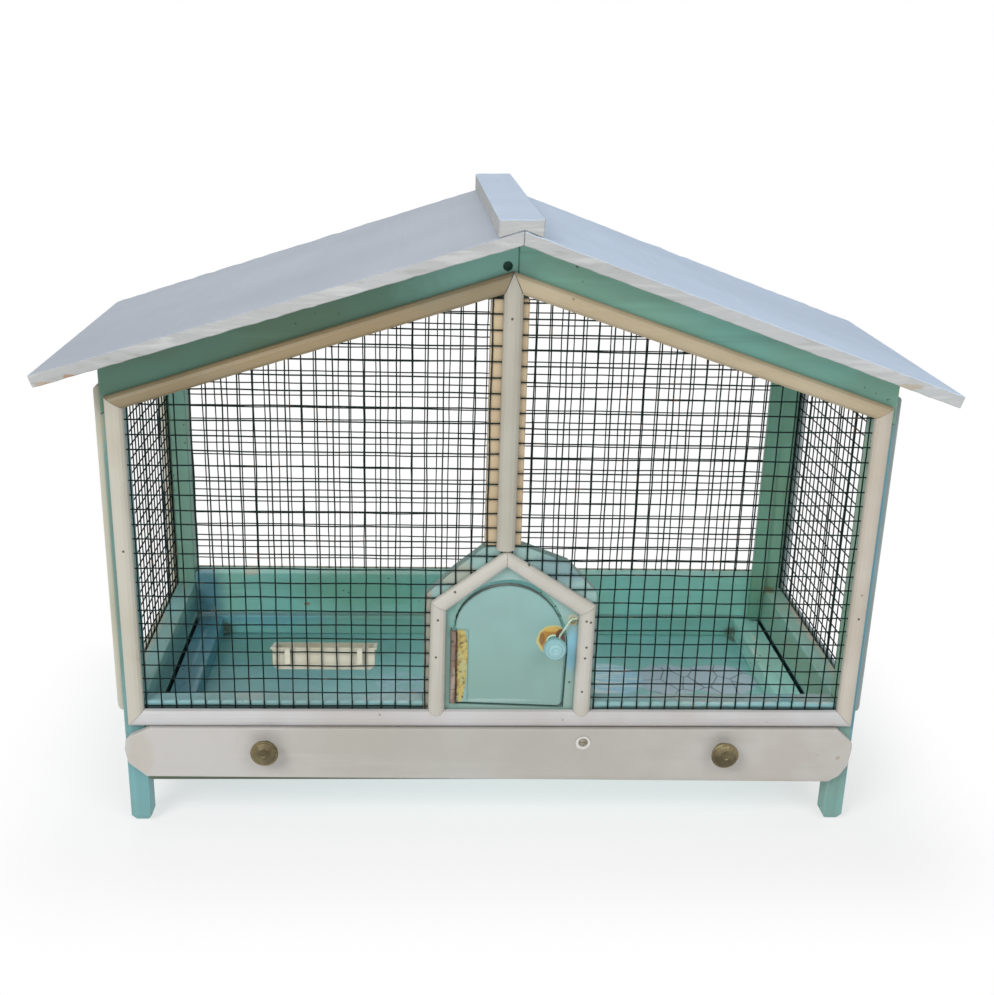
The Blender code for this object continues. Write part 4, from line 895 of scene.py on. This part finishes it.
# %% Wire mesh
COLUMN_PITCH, ROW_PITCH = 0.0127, 0.0128
WIRE_RADIUS = 0.00064
WIRE_SIDES = 6
UPRIGHT_LAYER, LEVEL_LAYER = 0.00065, 0.0015
SWAY, SWAY_WAVES, SWAY_SPREAD, LAYER_SPREAD = 0.00075, 22, 90, 3000
JOG, JOG_OUTWARD, JOG_WAVES, JOG_SPREAD, JOG_SEED = 0.00025, 0.00015, 70, 55, 7.0
HALF_WIDTH, DEPTH = 0.324, 0.290


def wall(along, outward, origin):
    """The plane of one wall: x runs along it, y up it, and z out of it."""
    axes = Matrix((along, (0, 0, 1), outward)).transposed().to_4x4()
    return Matrix.Translation(origin) @ axes


FRONT_WALL = wall((1, 0, 0), (0, -1, 0), (0, FORWARD, 0))
BACK_WALL = wall((-1, 0, 0), (0, 1, 0), (0, FORWARD + DEPTH, 0))
LEFT_WALL = wall((0, -1, 0), (-1, 0, 0), (-HALF_WIDTH, FORWARD, 0))
RIGHT_WALL = wall((0, 1, 0), (1, 0, 0), (HALF_WIDTH, FORWARD, 0))


def crossing(outline, fixed, position):
    """Where a straight wire enters and leaves an outline; fixed is the coordinate it keeps."""
    found = []
    for a, b in zip(outline, outline[1:] + outline[:1]):
        if (a[fixed] - position) * (b[fixed] - position) < 0:
            share = (position - a[fixed]) / (b[fixed] - a[fixed])
            found.append(a[1 - fixed] + (b[1 - fixed] - a[1 - fixed]) * share)
    return (min(found), max(found)) if len(found) > 1 else None


def add_wire(bm, keeps, position, reach, layer):
    """One wandering wire: keeps is 0 for an upright wire and 1 for a level one."""
    length = reach[1] - reach[0]
    middle = (reach[0] + reach[1]) / 2
    turn = Matrix.Rotation(pi / 2, 4, "X" if keeps == 0 else "Y")
    spot = (position, middle, layer) if keeps == 0 else (middle, position, layer)
    done = len(bm.verts)
    rod = bmesh.ops.create_cone(bm, cap_ends=True, segments=WIRE_SIDES, radius1=WIRE_RADIUS,
                                radius2=WIRE_RADIUS, depth=length,
                                matrix=Matrix.Translation(spot) @ turn)["verts"]
    sides = {edge for vert in rod for edge in vert.link_edges if edge.calc_length() > length * 0.9}
    cuts = max(1, round(length / COLUMN_PITCH) - 1)
    bmesh.ops.subdivide_edges(bm, edges=list(sides), cuts=cuts, use_grid_fill=True)
    bm.verts.ensure_lookup_table()
    for vert in bm.verts[done:]:
        along = vert.co[1 - keeps]
        sway = noise.noise(Vector((along * SWAY_WAVES, position * SWAY_SPREAD, layer * LAYER_SPREAD)))
        jog = noise.noise(Vector((along * JOG_WAVES, position * JOG_SPREAD, JOG_SEED)))
        vert.co[keeps] += SWAY * sway + JOG * jog
        vert.co.z += JOG_OUTWARD * jog


def wire_net(name, wall_plane, outline, first_column, first_row, *stands_for):
    """A sheet of mesh inside an outline; one upright and one level wire fix where all the others lie."""
    bm = bmesh.new()
    uprights, levels = (0, first_column, COLUMN_PITCH, UPRIGHT_LAYER), (1, first_row, ROW_PITCH, LEVEL_LAYER)
    for keeps, first, pitch, layer in (uprights, levels):
        low = min(point[keeps] for point in outline)
        high = max(point[keeps] for point in outline)
        position = first - pitch * int((first - low) / pitch)
        while position < high:
            reach = crossing(outline, keeps, position)
            if reach and reach[1] - reach[0] > pitch / 2:
                add_wire(bm, keeps, position, reach, layer)
            position += pitch
    bmesh.ops.transform(bm, matrix=wall_plane, verts=bm.verts)
    net = finished(name, bpy.data.meshes.new(name), bm, wire_finish, "house", "dark_wire", *stands_for)
    net.data.shade_smooth()
    return net


NET_EDGE = 0.3125
GABLE_TOP = (0.0043, 0.4887)
GABLE_SHOULDER = 0.3872
DOOR_SIDES = (-0.0519, 0.0762)
DOOR_HEAD = (0.2129, 0.2568, 0.2102)
SEAM = 0.0048
FRONT_FOOT, BACK_FOOT = 0.1062, 0.126
SIDE_MARGIN, SIDE_FOOT, SIDE_HEAD = 0.0135, 0.1125, 0.3925
left_outline = [(-NET_EDGE, FRONT_FOOT), (DOOR_SIDES[0], FRONT_FOOT), (DOOR_SIDES[0], DOOR_HEAD[0]),
                (SEAM, DOOR_HEAD[1]), (SEAM, GABLE_TOP[1]), (-NET_EDGE, GABLE_SHOULDER)]
right_outline = [(DOOR_SIDES[1], FRONT_FOOT), (NET_EDGE, FRONT_FOOT), (NET_EDGE, GABLE_SHOULDER),
                 (SEAM, GABLE_TOP[1]), (SEAM, DOOR_HEAD[1]), (DOOR_SIDES[1], DOOR_HEAD[2])]
back_outline = [(-NET_EDGE, BACK_FOOT), (NET_EDGE, BACK_FOOT), (NET_EDGE, GABLE_SHOULDER),
                (-GABLE_TOP[0], GABLE_TOP[1]), (-NET_EDGE, GABLE_SHOULDER)]
side_front, side_back = SIDE_MARGIN, DEPTH - SIDE_MARGIN
left_side_outline = [(-side_back, SIDE_FOOT), (-side_front, SIDE_FOOT),
                     (-side_front, SIDE_HEAD), (-side_back, SIDE_HEAD)]
right_side_outline = [(side_front, SIDE_FOOT), (side_back, SIDE_FOOT),
                      (side_back, SIDE_HEAD), (side_front, SIDE_HEAD)]
nets = [
    wire_net("fine_mesh_front_left", FRONT_WALL, left_outline, -0.26517, 0.1172,
             "front_mesh_left", "door_head_mesh_left"),
    wire_net("fine_mesh_front_right", FRONT_WALL, right_outline, 0.08712, 0.1136,
             "front_mesh_right", "door_head_mesh_right"),
    wire_net("fine_mesh_back", BACK_WALL, back_outline, 0.3048, 0.1440, "back_mesh"),
    wire_net("fine_mesh_left", LEFT_WALL, left_side_outline, -0.0307, 0.1300, "side_mesh_left"),
    wire_net("fine_mesh_right", RIGHT_WALL, right_side_outline, 0.0307, 0.1300, "side_mesh_right"),
]
print("mesh of", [len(net.data.polygons) for net in nets], "faces")

# %% [markdown]
# ## Floor
# A sheet of white paper would show its far edge. This floor is part paper, which takes the soft
# shadow near the cage, and part a plain white that gives off its own light. Further out only
# that white is left, so the floor meets the white background without a line.

# %% Floor
FOOTPRINT = (0.33, 0.17)
FLOOR_FADE = 0.17
FLOOR_SIZE, FLOOR_LEVEL = 30, -0.0005
bpy.ops.mesh.primitive_plane_add(size=FLOOR_SIZE, location=(0, 0, FLOOR_LEVEL))
floor = bpy.context.object
floor.name = "floor"
paper = Recipe("floor_paper")
fibre = paper.clouds(paper.place, 400.0, 2.0)
sheet = paper.mix(fibre, srgb(250, 250, 250), srgb(244, 244, 245))
floor.data.materials.append(paper.finish(sheet, 0.9))
glow = paper.node("Emission", {}, {"Color": (1.0, 1.0, 1.0, 1.0), "Strength": 1.0})
beside = (paper.x.size() - FOOTPRINT[0]).above(0.0)
before = (paper.y.size() - FOOTPRINT[1]).above(0.0)
distance = (beside * beside + before * before).root()
blended = paper.node("MixShader", {}, {0: distance.ramp(0.0, FLOOR_FADE, 0.60, 1.0)})
surface = paper.tree.nodes["Material Output"].inputs["Surface"]
paper.tree.links.new(paper.shader.outputs[0], blended.socket.node.inputs[1])
paper.tree.links.new(glow.socket, blended.socket.node.inputs[2])
paper.tree.links.new(blended.socket, surface)
print("floor is plain white beyond", FLOOR_FADE, "m from the cage")
